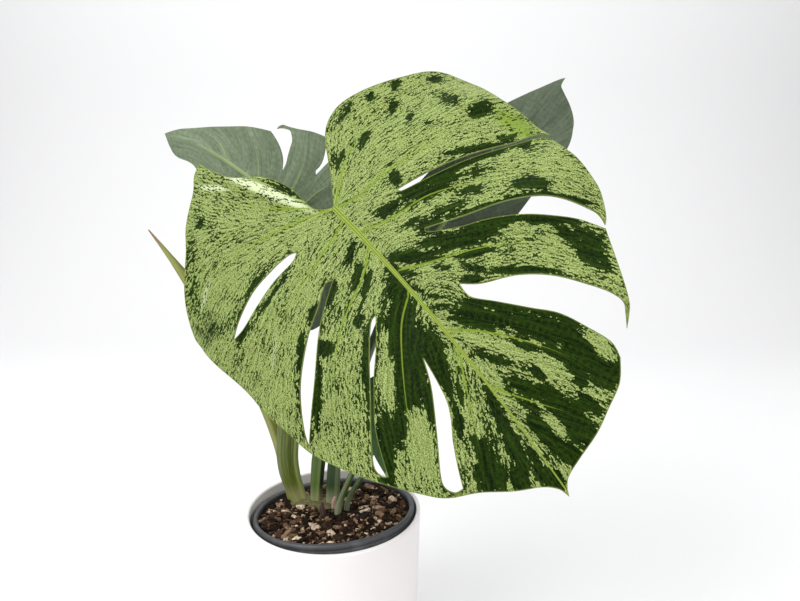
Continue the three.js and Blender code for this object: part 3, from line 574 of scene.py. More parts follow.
# Where flat leaf points lie in space, in millimetres
class Surface:
    def __init__(self, blade):
        self.blade = blade
        control = np.array(blade["midrib"], float)
        t = np.linspace(0, 1, 1201)[:, None]
        s = 1 - t
        self.line = s**3 * control[0] + 3 * s**2 * t * control[1] \
            + 3 * s * t**2 * control[2] + t**3 * control[3]
        slope = s**2 * (control[1] - control[0]) + 2 * s * t * (control[2] - control[1]) \
            + t**2 * (control[3] - control[2])
        self.slope = unit(slope)
        gaps = np.linalg.norm(np.diff(self.line, axis=0), axis=1)
        self.lengths = np.r_[0, np.cumsum(gaps)]
        self.length = self.lengths[-1]
        lines = [smoothLine(points, 2) for start, points in blade["veins"]]
        self.veinStarts = np.vstack([line[:-1] for line in lines])
        self.veinEnds = np.vstack([line[1:] for line in lines])
        self.veinShares = np.concatenate([np.linspace(0, 1, len(line) - 1) for line in lines])
        slots = [blade["margin"][i] for i in blade["slotFlow"]]
        slots += [part for hole in blade["holes"] for part in hole]
        slots += [points for start, points in blade["sinus"]] + [blade["tipLine"]]
        lines += [smoothLine(points, 4) for points in slots]
        self.combStarts = np.vstack([line[:-1] for line in lines])
        self.combEnds = np.vstack([line[1:] for line in lines])

    def slotDistance(self, flat):
        lines = [self.blade["margin"][i] for i in self.blade["slotFlow"]]
        lines += [part for hole in self.blade["holes"] for part in hole]
        if not lines:
            return np.full(len(flat), 99.0)
        lines = [smoothLine(points, 3) for points in lines]
        starts = np.vstack([line[:-1] for line in lines])
        return nearest(flat, starts, np.vstack([line[1:] for line in lines]))[0]

    # which way the fine veins run at flat points, outwards from the midrib
    def comb(self, flat):
        ahead = unit(self.combEnds - self.combStarts)
        twice = 2 * np.arctan2(ahead[:, 1], ahead[:, 0])
        sums = []
        for gap in gapsTo(flat, self.combStarts, self.combEnds):
            weight = (gap**2 + 9) ** -1.5
            sums.append(np.column_stack([weight @ np.cos(twice), weight @ np.sin(twice)]))
        sums = np.vstack(sums)
        angle = np.arctan2(sums[:, 1], sums[:, 0]) / 2
        ways = np.column_stack([np.cos(angle), np.sin(angle)])
        outward = np.where(flat[:, :1] < 0, flat, np.abs(flat[:, 1:]) * [0.3, 0] + flat * [0, 1])
        return ways * np.where((ways * outward).sum(1) < 0, -1, 1)[:, None]

    def place(self, flat, veinGap):
        blade = self.blade
        u, v = flat[:, 0], flat[:, 1]
        inside = np.clip(u, 0, self.length)
        point = np.column_stack([np.interp(inside, self.lengths, self.line[:, i]) for i in range(3)])
        along = unit(np.column_stack(
            [np.interp(inside, self.lengths, self.slope[:, i]) for i in range(3)]))
        hint = np.array(blade["side"], float)
        across = unit(hint - along * (along @ hint)[:, None])
        out = np.cross(along, across)
        self.tangentAlong, self.tangentAcross = along, across
        rise, droop = math.radians(blade["rise"]), math.radians(blade["droop"])
        far = np.abs(v)
        reach = (math.sin(rise) - np.sin(rise - droop * far)) / droop
        lift = (np.cos(rise - droop * far) - math.cos(rise)) / droop
        wave = blade["wave"]
        ripple = wave["height"] * np.maximum(0, far - wave["start"]) / 100 \
            * np.sin(2 * math.pi * u / wave["length"] + wave["phase"])
        swell = blade["swell"] * (0.5 - np.exp(-(veinGap / 12) ** 2))
        return point + along * (u - inside)[:, None] + across * (np.sign(v) * reach)[:, None] \
            + out * (lift + ripple + swell)[:, None]


# Fine triangles over a blade's flat shape, with rows of points along its midrib and veins
def flatSheet(blade, surface):
    grain = blade["grain"]
    flowOf = {0: blade["slotFlow"]}
    flowOf.update({1 + i: {0: start, 1: start} for i, start in enumerate(blade["holeFlow"])})
    loops, flows, constraints = [], [], []
    first = 0
    for number, stretches in enumerate([blade["margin"], *blade["holes"]]):
        parts = [smoothLine(part, grain * 0.62)[:-1] for part in stretches]
        loops.append(np.vstack(parts))
        for i, part in enumerate(parts):
            flows.append(np.full(len(part), float(flowOf[number].get(i, "nan"))))
        count = len(loops[-1])
        constraints += [(first + i, first + (i + 1) % count) for i in range(count)]
        first += count
    points = list(loops)
    borderTree = treeOf(np.vstack(loops))

    def add(some, flow, room, edgeRoom):
        keep = insideLoops(some, loops) & clearOf(borderTree, some, edgeRoom)
        keep &= clearOf(treeOf(np.vstack(points)), some, room)
        points.append(some[keep])
        flows.append(np.broadcast_to(flow, len(some))[keep])

    for offset in (0, 0.9, -0.9, 1.9, -1.9, 3.1, -3.1, 4.6, -4.6):
        along = np.arange(0.5, surface.length - 1, grain)
        row = np.column_stack([along, np.full(len(along), float(offset))])
        add(row, along if offset == 0 else np.nan, 0.5, grain * 0.4)
    for start, line in [*blade["veins"], *blade["sinus"]]:
        add(smoothLine(line, grain), float(start), grain * 0.6, grain * 0.4)
    low, high = np.vstack(loops).min(0), np.vstack(loops).max(0)
    field = []
    for row, y in enumerate(np.arange(low[1], high[1], grain * math.sin(math.pi / 3))):
        x = np.arange(low[0] + (row % 2) * grain / 2, high[0], grain)
        field.append(np.column_stack([x, np.full(len(x), y)]))
    field = np.vstack(field)
    shake = bladeSheet["shake"]
    field += np.random.default_rng(bladeSheet["seed"]).uniform(-shake, shake, field.shape) * grain
    add(field, np.nan, grain * 0.66, grain * 0.55)
    flow = np.concatenate(flows)
    result = delaunay_2d_cdt([Vector(p) for p in np.vstack(points)], constraints, [], 0, 1e-6)
    flat = np.array([tuple(p) for p in result[0]])
    flow = np.array([flow[ids[0]] if ids else np.nan for ids in result[3]])
    faces = np.array(result[2])
    faces = faces[insideLoops(flat[faces].mean(1), loops)]
    used = np.unique(faces)
    renumber = np.full(len(flat), -1)
    renumber[used] = np.arange(len(used))
    flat, flow, faces = flat[used], flow[used], renumber[faces]
    a, b, c = flat[faces[:, 0]], flat[faces[:, 1]], flat[faces[:, 2]]
    turned = (b - a)[:, 0] * (c - a)[:, 1] - (b - a)[:, 1] * (c - a)[:, 0] < 0
    faces[turned] = faces[turned][:, ::-1]
    ends = np.vstack([np.roll(loop, -1, axis=0) for loop in loops])
    return flat, faces, flow, nearest(flat, np.vstack(loops), ends)[0]


# Spreads the veins' flow values evenly over the sheet
def spreadFlow(faces, flow, flat):
    known = ~np.isnan(flow)
    value = np.where(known, flow, flat[:, 0])
    pairs = np.vstack([faces[:, [0, 1]], faces[:, [1, 2]], faces[:, [2, 0]]])
    pairs = np.vstack([pairs, pairs[:, ::-1]])
    weight = np.bincount(pairs[:, 0], minlength=len(flow))
    for turn in range(bladeSheet["flowRounds"]):
        total = np.bincount(pairs[:, 0], weights=value[pairs[:, 1]], minlength=len(flow))
        value = np.where(known, value, total / weight)
    return value


# How far flat points lie from an oval's centre, 1 at its edge
def ovalGap(flat, u, v, length, width, turn):
    angle = math.radians(turn)
    du, dv = flat[:, 0] - u, flat[:, 1] - v
    along = (du * math.cos(angle) + dv * math.sin(angle)) / length
    across = (-du * math.sin(angle) + dv * math.cos(angle)) / width
    return np.hypot(along, across)


# Soft ridges over the listed ovals, whose last value is their height
def areaRidge(flat, folds):
    height = np.zeros(len(flat))
    for *oval, rise in folds:
        height += rise * np.exp(-ovalGap(flat, *oval) ** 2)
    return height


# 1 inside the listed ovals, a half at their edge, then down to 0
def areaField(flat, areas):
    field = np.zeros(len(flat))
    for *oval, strength in areas:
        field = np.maximum(field, strength * np.clip(1.5 - ovalGap(flat, *oval), 0, 1))
    return field


# One blade: a flat sheet bent into place, thickened, with ribs raised on both faces
def makeBlade(name, node, blade, materials, areas=None):
    surface = Surface(blade)
    flat, faces, flow, edge = flatSheet(blade, surface)
    sideGap, sideNumber = nearest(flat, surface.veinStarts, surface.veinEnds)
    places = surface.place(flat, np.minimum(np.abs(flat[:, 1]), sideGap))
    ways = unit(np.cross(surface.tangentAlong, surface.tangentAcross))
    places += ways * areaRidge(flat, blade.get("folds", []))[:, None]
    made = objectOf(name, places * milli, faces, materials)
    mesh = made.data
    comb = surface.comb(flat)
    fields = {
        "flow": spreadFlow(faces, flow, flat) / 10,
        "alongRib": flat[:, 0] / 10,
        "acrossRib": flat[:, 1] / 10,
        "combAlong": comb[:, 0],
        "combAcross": comb[:, 1],
        "edge": edge,
        "slotGap": surface.slotDistance(flat),
        "veinGap": sideGap,
        "veinShare": surface.veinShares[sideNumber],
    }
    fields.update({field: areaField(flat, ovals) for field, ovals in (areas or {}).items()})
    for field, values in fields.items():
        writeAttribute(mesh, field, values)
    shell = made.modifiers.new("thickness", "SOLIDIFY")
    shell.thickness = bladeSheet["thickness"] * milli
    shell.offset = 0
    shell.material_offset = 1
    shell.material_offset_rim = 2
    applyAll(made)
    count = len(flat)
    points = vertexArray(mesh)
    outward = unit(points[:count] - points[count:])
    rib = blade["rib"]
    far = np.abs(flat[:, 1])
    taper = 1 - 0.75 * np.clip(flat[:, 0] / surface.length, 0, 1)
    middle = taper * np.exp(-(far / (rib["width"] * 0.62)) ** 2) * (flat[:, 0] > -2)
    groove = taper * np.exp(-((far - rib["width"]) / 1.1) ** 2) * (flat[:, 0] > 3)
    sides = 0.4 * np.exp(-(sideGap / (rib["width"] * 0.5)) ** 2)
    top = rib["top"] * np.maximum(middle, sides * 0.4) - 0.25 * groove
    bottom = rib["bottom"] * np.maximum(middle, sides)
    points[:count] += outward * (top * milli)[:, None]
    points[count:] -= outward * (bottom * milli)[:, None]
    mesh.vertices.foreach_set("co", points.ravel())
    mesh.update()
    pick(made)
    bpy.ops.object.shade_smooth_by_angle(angle=math.radians(bladeSheet["crease"]))
    attach(made, [node])


# Leaf finishes
marbledLook = {
    "mint": (0.130, 0.178, 0.036),
    "mintPale": (0.34, 0.41, 0.155),
    "mintGold": (0.15, 0.235, 0.012),
    "leafGreen": (0.052, 0.086, 0.010),
    # a painted highlight for the pale ovals
    "paintedHighlight": (0.60, 0.67, 0.42),
    "speck": (0.008, 0.021, 0.001),
    "dark": (0.018, 0.040, 0.003),
    "deep": (0.002, 0.007, 0.001),
    # a painted sheen for the dark areas
    "sheen": (0.060, 0.095, 0.044),
    "rib": (0.165, 0.235, 0.022),
    "ribPale": (0.30, 0.36, 0.070),
    # painted shade in the midrib's fine furrows
    "ribGrooveShade": (0.085, 0.145, 0.012),
    "edge": (0.16, 0.20, 0.045),
}
plainLook = {
    "back": (0.112, 0.153, 0.088),
    "backPale": (0.205, 0.255, 0.162),
    "backDark": (0.042, 0.068, 0.034),
    "shadeLow": (0.060, 0.082, 0.048),
    "shadePale": (0.118, 0.146, 0.094),
    "shadeDark": (0.024, 0.036, 0.019),
    "face": (0.030, 0.075, 0.016),
    "facePale": (0.06, 0.13, 0.032),
    "rib": (0.26, 0.34, 0.13),
    "edge": (0.10, 0.14, 0.06),
}


# The marbling's noises: scale, spacing of samples along the veins, samples, detail
marblingNoise = {
    "long": (1.9, 0.5, 7, 1.5),
    "short": (4.6, 0.2, 5, 1.5),
    "blots": (2.7, 0.14, 3, 1.5),
    "specks": (6.2, 0.09, 3, 1.0),
    "fine": (11.0, 0.05, 2, 1.0),
}


# Noise drawn out along the veins: the mean of samples set a little apart
def combed(graph, scale, spacing, samples, detail=1.5):
    flat = graph.vector(graph.attribute("alongRib"), graph.attribute("acrossRib"))
    comb = graph.vector(graph.attribute("combAlong"), graph.attribute("combAcross"))
    total = 0.0
    for number in range(samples):
        shift = (number - (samples - 1) / 2) * spacing
        settings = {"operation": "MULTIPLY_ADD"}
        at = graph.node("ShaderNodeVectorMath", settings, [comb, (shift, shift, shift), flat])
        total = graph.noise(at, scale, detail, 0.55) + total
    return (total / samples - 0.5) * samples**0.5 + 0.5


# Masks for the midrib and the side veins, both thinner towards their tips
def ribMasks(graph, ribWidth, veinWidth):
    u, v = graph.attribute("alongRib"), graph.attribute("acrossRib")
    taper = (1.0 - u / 36.0).highest(0.25)
    side = v.math("ABSOLUTE") * 10.0
    middle = (side / (taper * ribWidth)).step(1.05, 0.7) * u.step(-0.15, 0.05)
    share = graph.attribute("veinShare")
    width = (1.15 - share) * veinWidth
    veins = (graph.attribute("veinGap") / width).step(1.1, 0.4) * share.step(1.0, 0.45)
    return middle, veins, side, taper


# Where the blade is dark, and where dark specks lie on the mint
def marbling(graph):
    long, short, blots, specks, fine = [combed(graph, *values) for values in marblingNoise.values()]
    flat = graph.vector(graph.attribute("alongRib"), graph.attribute("acrossRib"))
    clumps = graph.noise(flat, 0.7, 2.0, 0.5) - 0.5
    slot = graph.attribute("slotGap").step(7.0, 0.5) * 0.3
    shade = graph.attribute("dark") + graph.attribute("shade") + slot - graph.attribute("mint")
    ragged = (short - 0.5) * 0.9 + (specks - 0.5) * 0.75 + (fine - 0.5) * 0.3
    patch = shade + (long - 0.5) * 1.35 + ragged + (blots + clumps * 0.8 - 0.5) * 0.95
    area = patch.step(0.45, 0.50)
    dots = (specks + (fine - 0.5) * 0.3 + clumps * 0.5 + shade * 0.25
            + (short - 0.5) * 0.35 + (blots - 0.5) * 0.3).step(0.565, 0.63)
    return area, dots, long, short, fine


# Thin lines that follow the flow of the veins
def fineLines(graph, spacing, drift):
    where = graph.attribute("flow") * (10 * math.pi / spacing) + drift * 3.0
    return where.sine().math("ABSOLUTE").step(0.3, 0.0)


# Mint with green and gold clouds, the gold partly painted sheen, a pale painted highlight, specks and
# dark areas with painted sheen, then veins, a midrib with painted groove shade, and edge
def marbledTop():
    look = marbledLook
    graph = Graph("marbledTop")
    area, dots, long, short, fine = marbling(graph)
    middle, veins, side, taper = ribMasks(graph, 3.0, 0.95)
    lines = fineLines(graph, 7, long)
    near = graph.attribute("veinGap").step(6.0, 0.5) * graph.attribute("veinShare").step(0.9, 0.2)
    green = look["leafGreen"]
    mint = graph.mix((fine * 0.6 + short * 0.4).step(0.62, 0.34), look["mint"], look["mintPale"])
    mint = graph.mix((fine * 0.7 + short * 0.3).step(0.55, 0.66) * 0.75, mint, green)
    mint = graph.mix((long * 0.7 + short * 0.3).step(0.52, 0.8) * 0.55, mint, green)
    # Yellow-green along the veins and in noise clouds is the leaf's own; the glow ovals add painted
    # sheen to it
    gold = (near * 0.5 + (long - 0.5) * 0.8 + graph.attribute("glow")).step(0.1, 1.0)
    mint = graph.mix(gold * 0.75, mint, look["mintGold"])
    # Painted highlight: a pale tone laid over the mint on the pale ovals
    pale = (graph.attribute("pale") + (short - 0.5) * 0.5).step(0.3, 0.9)
    mint = graph.mix(pale * 0.8, mint, look["paintedHighlight"])
    dark = graph.mix((long * 0.5 + short * 0.5).step(0.35, 0.68), look["deep"], look["dark"])
    # Painted sheen: a lighter grey-green laid over parts of the dark areas
    sheen = (long * 0.6 + short * 0.4).step(0.6, 0.85) * 0.6
    dark = graph.mix(sheen, dark, look["sheen"])
    dark = graph.mix(lines * 0.25, dark, green)
    flecks = (fine + (long - 0.5) * 0.5).step(0.83, 0.87)
    dark = graph.mix(flecks * 0.7, dark, look["mint"])
    colour = graph.mix(dots * 0.97, mint, look["speck"])
    colour = graph.mix(area, colour, dark)
    colour = graph.mix(veins * 0.85, colour, look["rib"])
    # Painted shade: darker stripes across the midrib for its fine furrows, between its own pale tone
    paintedGrooveShade = ((side / taper) * 3.4).sine() * 0.5 + 0.5
    ribTone = graph.mix(paintedGrooveShade, look["ribGrooveShade"], look["ribPale"])
    ribTone = graph.mix(short.step(0.4, 0.8) * 0.4, ribTone, look["rib"])
    colour = graph.mix(middle, colour, ribTone)
    colour = graph.mix(graph.attribute("edge").step(1.0, 0.35) * 0.7, colour, look["edge"])
    grain = graph.noise(graph.place(), 900.0, 3.0, 0.6)
    relief = grain * 0.12 + lines * 0.5 + short * 1.3 + long * 0.8
    return graph.finish(
        Base_Color=colour,
        Roughness=0.30 + grain * 0.14 + short * 0.06,
        Normal=graph.bump(relief, 0.6, 0.0006),
        Specular_IOR_Level=0.03,
    )


# The underside, where the marbling only shows faintly
def marbledBack():
    look = plainLook
    graph = Graph("marbledBack")
    area, dots, long, short, fine = marbling(graph)
    middle, veins = ribMasks(graph, 4.6, 2.0)[:2]
    colour = graph.mix(area * 0.75 + dots * 0.12, look["backPale"], look["back"])
    colour = graph.mix(short.step(0.4, 0.75) * 0.3, colour, look["backDark"])
    colour = graph.mix(veins * 0.7, colour, look["rib"])
    colour = graph.mix(middle, colour, look["rib"])
    grain = graph.noise(graph.place(), 1100.0, 3.0, 0.6)
    return graph.finish(
        Base_Color=colour,
        Roughness=0.55 + grain * 0.12,
        Normal=graph.bump(grain * 0.3 + short, 0.35, 0.0006),
    )


# The thin rim between the two faces of a blade
def edgeOf(name, tone):
    graph = Graph(name)
    grain = graph.noise(graph.place(), 160.0, 2.0)
    pale = tuple(0.6 * channel for channel in tone)
    return graph.finish(Base_Color=graph.mix(grain.step(0.4, 0.7), tone, pale), Roughness=0.45)


# A face of a plain green leaf
def plainSide(name, low, high, deep, roughness):
    look = plainLook
    graph = Graph(name)
    long = combed(graph, 1.3, 0.6, 7)
    short = combed(graph, 4.5, 0.2, 5)
    middle, veins = ribMasks(graph, 2.6, 1.2)[:2]
    middle = middle * graph.attribute("alongRib").step(15.0, 7.0)
    lines = fineLines(graph, 6, long)
    cloud = graph.noise(graph.place(), 24.0, 3.0, 0.6)
    # Pale blotches: the leaf's own uneven tone with painted sheen in it
    colour = graph.mix((long * 0.6 + cloud * 0.4).step(0.3, 0.7), low, high)
    colour = graph.mix(short.step(0.4, 0.8) * 0.6, colour, deep)
    colour = graph.mix(lines * 0.10, colour, high)
    colour = graph.mix(veins * 0.6, colour, look["rib"])
    colour = graph.mix(middle * 0.85, colour, look["rib"])
    grain = graph.noise(graph.place(), 1000.0, 3.0, 0.6)
    return graph.finish(
        Base_Color=colour,
        Roughness=roughness + grain * 0.14,
        Specular_IOR_Level=0.2,
        Normal=graph.bump(grain * 0.2 + lines * 0.4 + short + long, 0.4, 0.0006),
    )


# Stalks
stalks = {
    "petiole_front": {
        "path": [(-34, 25, 137), (-40, 24.5, 154), (-45, 24, 171), (-47, 23, 190),
                 (-45, 21, 219), (-44, 19, 269), (-38, 17, 318), (-27, 13, 363), (-12, 6, 400),
                 (2, 0, 418), (9, -5, 424), (11, -14, 427)],
        "widths": [15, 21, 22, 18, 15, 12, 10, 9.5, 9],
        "depths": [11, 13, 12, 12, 11, 10, 10, 9, 8],
        "wing": {"angle": -28, "width": 17, "height": 1.6, "until": 0.45},
        "tones": {"base": (0.12, 0.151, 0.016), "stripe": (0.047, 0.07, 0.006),
                  "wing": (0.235, 0.28, 0.073), "foot": (0.32, 0.32, 0.128)},
    },
    "petiole_left": {
        "path": [(-19.5, 18, 139), (-18.5, 20.5, 164), (-16, 24, 192), (-10, 28, 230),
                 (-1, 33, 280), (4, 37, 325), (2, 39, 362), (-8, 41, 388), (-24, 42, 406),
                 (-38, 47, 416), (-44.5, 60, 425)],
        "widths": [11, 14, 13, 12, 10, 9, 8, 7],
        "depths": [10, 12, 11, 10, 10, 9, 8, 7],
        "wing": {"angle": -60, "width": 14, "height": 0.9, "until": 0.4},
        "tones": {"base": (0.09, 0.151, 0.028), "stripe": (0.05, 0.095, 0.014),
                  "wing": (0.134, 0.202, 0.039), "foot": (0.256, 0.275, 0.128),
                  "shade": (0.005, 0.008, 0.003)},
        "darkSide": {"from": -62, "to": 40},
    },
    "petiole_right": {
        "path": [(-3, 16, 140), (-2, 17, 165), (0, 19, 190), (8, 20, 220), (20, 23, 258),
                 (38, 28, 306), (54, 31, 344), (68, 34, 366), (76, 37, 377), (79, 45, 383)],
        "widths": [14, 13, 12, 9, 8, 7],
        "depths": [11, 11, 10, 8, 8, 7],
        "wing": {"angle": -40, "width": 26, "height": 0.8, "until": 0.4},
        "tones": {"base": (0.028, 0.065, 0.014), "stripe": (0.014, 0.034, 0.006),
                  "wing": (0.14, 0.185, 0.084), "foot": (0.269, 0.294, 0.166)},
    },
    "petiole_low_front": {
        "path": [(3, -2, 140), (6, -3, 155), (18, -4, 185), (32, -8, 220), (46, -13, 256),
                 (53, -15, 268), (56.5, -20, 273), (57, -27, 270.5)],
        "widths": [7, 6, 5, 4.4],
        "depths": [7, 6, 5, 4.4],
        "wing": {"angle": -120, "width": 26, "height": 0.4, "until": 0.6},
        "tones": {"base": (0.056, 0.101, 0.022), "stripe": (0.028, 0.056, 0.011),
                  "wing": (0.151, 0.202, 0.09), "foot": (0.269, 0.282, 0.166)},
    },
    "petiole_low_back": {
        "path": [(11, 6, 140), (14, 5, 155), (27, 6, 178), (40, 10, 208), (50, 12, 230),
                 (56, 15, 240), (61, 21, 243)],
        "widths": [6, 5, 4.4, 4],
        "depths": [6, 5, 4.4, 4],
        "wing": {"angle": -120, "width": 26, "height": 0.3, "until": 0.6},
        "tones": {"base": (0.05, 0.095, 0.022), "stripe": (0.028, 0.056, 0.011),
                  "wing": (0.134, 0.19, 0.084), "foot": (0.23, 0.243, 0.141)},
    },
    "spear_leaf": {
        "path": [(-46, 37, 139), (-50, 37, 162), (-57, 37, 198), (-69, 37, 235),
                 (-86, 39, 271), (-105, 41, 304), (-126, 44, 337), (-146, 47, 366),
                 (-164, 50, 390), (-179, 52, 409)],
        "widths": [10, 13, 13, 12, 10, 9, 10, 12, 6, 1.6],
        "depths": [10, 11, 11, 10, 9, 9, 10, 10, 6, 1.6],
        "wing": {"angle": -100, "width": 12, "height": 0.5, "until": 1.0},
        "tones": {"base": (0.235, 0.246, 0.039), "stripe": (0.146, 0.168, 0.02),
                  "wing": (0.263, 0.28, 0.073), "foot": (0.269, 0.269, 0.077)},
    },
}


# A smooth curve through points in space, by arc length
def smoothPath(points, step):
    given = np.array(points, float)
    padded = np.vstack([2 * given[0] - given[1], given, 2 * given[-1] - given[-2]])
    dense = []
    shares = np.linspace(0, 1, 25)[:-1, None]
    for p0, p1, p2, p3 in zip(padded, padded[1:], padded[2:], padded[3:]):
        d0, d1, d2 = (np.linalg.norm(q - p) ** 0.5 for p, q in ((p0, p1), (p1, p2), (p2, p3)))
        t1 = d1 * ((p1 - p0) / d0 - (p2 - p0) / (d0 + d1) + (p2 - p1) / d1)
        t2 = d1 * ((p2 - p1) / d1 - (p3 - p1) / (d1 + d2) + (p3 - p2) / d2)
        cubic = 2 * p1 - 2 * p2 + t1 + t2
        square = -3 * p1 + 3 * p2 - 2 * t1 - t2
        dense.append(cubic * shares**3 + square * shares**2 + t1 * shares + p1)
    dense = np.vstack([*dense, given[-1]])
    lengths = np.r_[0, np.cumsum(np.linalg.norm(np.diff(dense, axis=0), axis=1))]
    at = np.linspace(0, lengths[-1], max(4, round(lengths[-1] / step)))
    line = np.column_stack([np.interp(at, lengths, dense[:, i]) for i in range(3)])
    return line, unit(np.gradient(line, axis=0))


# Values spaced evenly along a piece, read at shares of its length
def spread(values, shares):
    return np.interp(shares, np.linspace(0, 1, len(values)), values)


# The side faces of a tube of rings
def tubeFaces(rings, sides):
    faces = []
    for ring in range(rings - 1):
        for side in range(sides):
            after = (side + 1) % sides
            a, b = ring * sides + side, ring * sides + after
            faces.append((a, b, b + sides, a + sides))
    return faces


# Directions across and out of a curve
def crossing(along):
    across = unit(np.array([1.0, 0, 0]) - along * along[:, :1])
    return across, np.cross(along, across)


# A stalk: a tube with a raised wing, shallow ribs and closed ends
def makeStalk(name, stalk, material):
    sides = 36
    line, along = smoothPath(stalk["path"], 2.4)
    shares = np.linspace(0, 1, len(line))
    across, out = crossing(along)
    angles = np.arange(sides) * 2 * math.pi / sides
    width = spread(stalk["widths"], shares)[:, None] / 2
    depth = spread(stalk["depths"], shares)[:, None] / 2
    wing = stalk["wing"]
    away = (np.degrees(angles)[None] - wing["angle"] + 180) % 360 - 180
    fade = np.clip((wing["until"] - shares[:, None]) / 0.1 + 0.5, 0, 1)
    crest = np.exp(-(away / wing["width"]) ** 2)
    trough = 0.55 * np.exp(-((np.abs(away) - 2.2 * wing["width"]) / 9) ** 2)
    bump = wing["height"] * (crest - trough) * fade
    ribs = 0.14 * np.cos(angles * 9)[None] * np.minimum(1, width / 5)
    points = line[:, None] \
        + across[:, None] * ((width - 0.2 + bump + ribs) * np.cos(angles))[..., None] \
        + out[:, None] * ((depth - 0.2 + bump + ribs) * np.sin(angles))[..., None]
    rings = len(line)
    faces = tubeFaces(rings, sides)
    points = np.vstack([points.reshape(-1, 3), line[:1], line[-1:]])
    first = rings * sides
    for side in range(sides):
        after = (side + 1) % sides
        faces.append((first, after, side))
        faces.append((first + 1, (rings - 1) * sides + side, (rings - 1) * sides + after))
    made = objectOf(name + "_fine", points * milli, faces, [material])
    around = np.r_[np.tile(np.degrees(angles), rings), 0, 0]
    writeAttribute(made.data, "cosAround", np.cos(np.radians(around)))
    writeAttribute(made.data, "sinAround", np.sin(np.radians(around)))
    lengths = np.r_[0, np.cumsum(np.linalg.norm(np.diff(line, axis=0), axis=1))]
    writeAttribute(made.data, "along", np.r_[np.repeat(lengths, sides), 0, lengths[-1]] / 10)
    writeAttribute(made.data, "height", points[:, 2] / 10)
    pick(made)
    bpy.ops.object.shade_smooth()
    attach(made, [name])


# Stripes along the stalk, its wing, its shaded side, its pale foot and its tip
def stalkMaterial(name, stalk, tipTone=None):
    tones = stalk["tones"]
    graph = Graph(name)
    cos, sin = graph.attribute("cosAround"), graph.attribute("sinAround")
    along, height = graph.attribute("along"), graph.attribute("height")
    around = graph.vector(cos * 2.4, sin * 2.4, along * 0.05)
    stripes = graph.noise(around, 3.4, 3.0, 0.6)
    fine = graph.noise(graph.vector(cos * 2.4, sin * 2.4, along * 0.12), 11.0, 2.0, 0.6)
    colour = graph.mix((stripes * 0.7 + fine * 0.3).step(0.42, 0.6), tones["base"], tones["stripe"])
    wing = stalk["wing"]
    angle = math.radians(wing["angle"])
    facing = cos * math.cos(angle) + sin * math.sin(angle)
    width = math.radians(wing["width"] * 1.35)
    onWing = facing.step(math.cos(width * 1.12), math.cos(width * 0.86))
    colour = graph.mix(onWing * 0.9 * height.step(60.0, 15.0), colour, tones["wing"])
    if "darkSide" in stalk:
        start, end = stalk["darkSide"]["from"], stalk["darkSide"]["to"]
        middle, half = math.radians((start + end) / 2), math.radians((end - start) / 2)
        turned = cos * math.cos(middle) + sin * math.sin(middle)
        shade = turned.step(math.cos(half * 1.1), math.cos(half * 0.85))
        colour = graph.mix(shade * 0.9 * height.step(30.0, 24.0), colour, tones["shade"])
    foot = (height + (stripes - 0.5) * 1.2).step(16.6, 14.8)
    colour = graph.mix(foot * 0.85, colour, tones["foot"])
    if tipTone:
        colour = graph.mix(height.step(38.6, 40.6), colour, tipTone)
    grain = graph.noise(graph.place(), 700.0, 3.0, 0.6)
    return graph.finish(
        Base_Color=colour,
        Roughness=0.36 + grain * 0.14,
        Normal=graph.bump(stripes + fine * 0.4 + grain * 0.1, 0.3, 0.0008),
    )


# The pots
planter = {
    "height": 150, "rim": 82.5, "foot": 78.6, "wall": 4.2, "floor": 6, "bend": 6, "steps": 144,
}
nursery = {
    "height": 137, "rim": 76.4, "foot": 58, "wall": 1.3, "tilt": -2.7, "lean": -5,
    "shift": (6.8, -11.2), "gap": 0.3,
    "rimDrop": 13, "rimStep": 2.4, "rimRoll": 5, "holes": 6, "holeRadius": 5, "holeCircle": 42,
    "steps": 144,
}
potTurn = Matrix.Rotation(math.radians(nursery["lean"]), 4, "X") \
    @ Matrix.Rotation(math.radians(nursery["tilt"]), 4, "Y")
potLift = planter["floor"] + nursery["gap"] + nursery["foot"] * math.sin(math.acos(potTurn[2][2]))
potFrame = Matrix.Translation(Vector((*nursery["shift"], potLift)) * milli) @ potTurn


# Turns a closed profile of (radius, height) once round, with the spin tool
def spun(name, profile, steps, material):
    points = [(r * milli, 0, z * milli) for r, z in profile]
    mesh = bpy.data.meshes.new(name)
    mesh.from_pydata(points, [(i, i + 1) for i in range(len(points) - 1)], [])
    made = bpy.data.objects.new(name, mesh)
    bpy.context.scene.collection.objects.link(made)
    mesh.materials.append(material)
    pick(made)
    bpy.ops.object.mode_set(mode="EDIT")
    bpy.ops.mesh.select_all(action="SELECT")
    bpy.ops.mesh.spin(steps=steps, angle=2 * math.pi, center=(0, 0, 0), axis=(0, 0, 1))
    bpy.ops.mesh.select_all(action="SELECT")
    bpy.ops.mesh.remove_doubles(threshold=1e-5)
    bpy.ops.mesh.normals_make_consistent(inside=False)
    bpy.ops.object.mode_set(mode="OBJECT")
    return made


def arcProfile(centre, radius, start, end, steps):
    found = []
    for step in range(steps + 1):
        angle = math.radians(start + (end - start) * step / steps)
        found.append((centre[0] + radius * math.cos(angle), centre[1] + radius * math.sin(angle)))
    return found


# The planter's outside radius at a height
def planterRadius(z):
    return planter["foot"] + (planter["rim"] - planter["foot"]) / planter["height"] * z


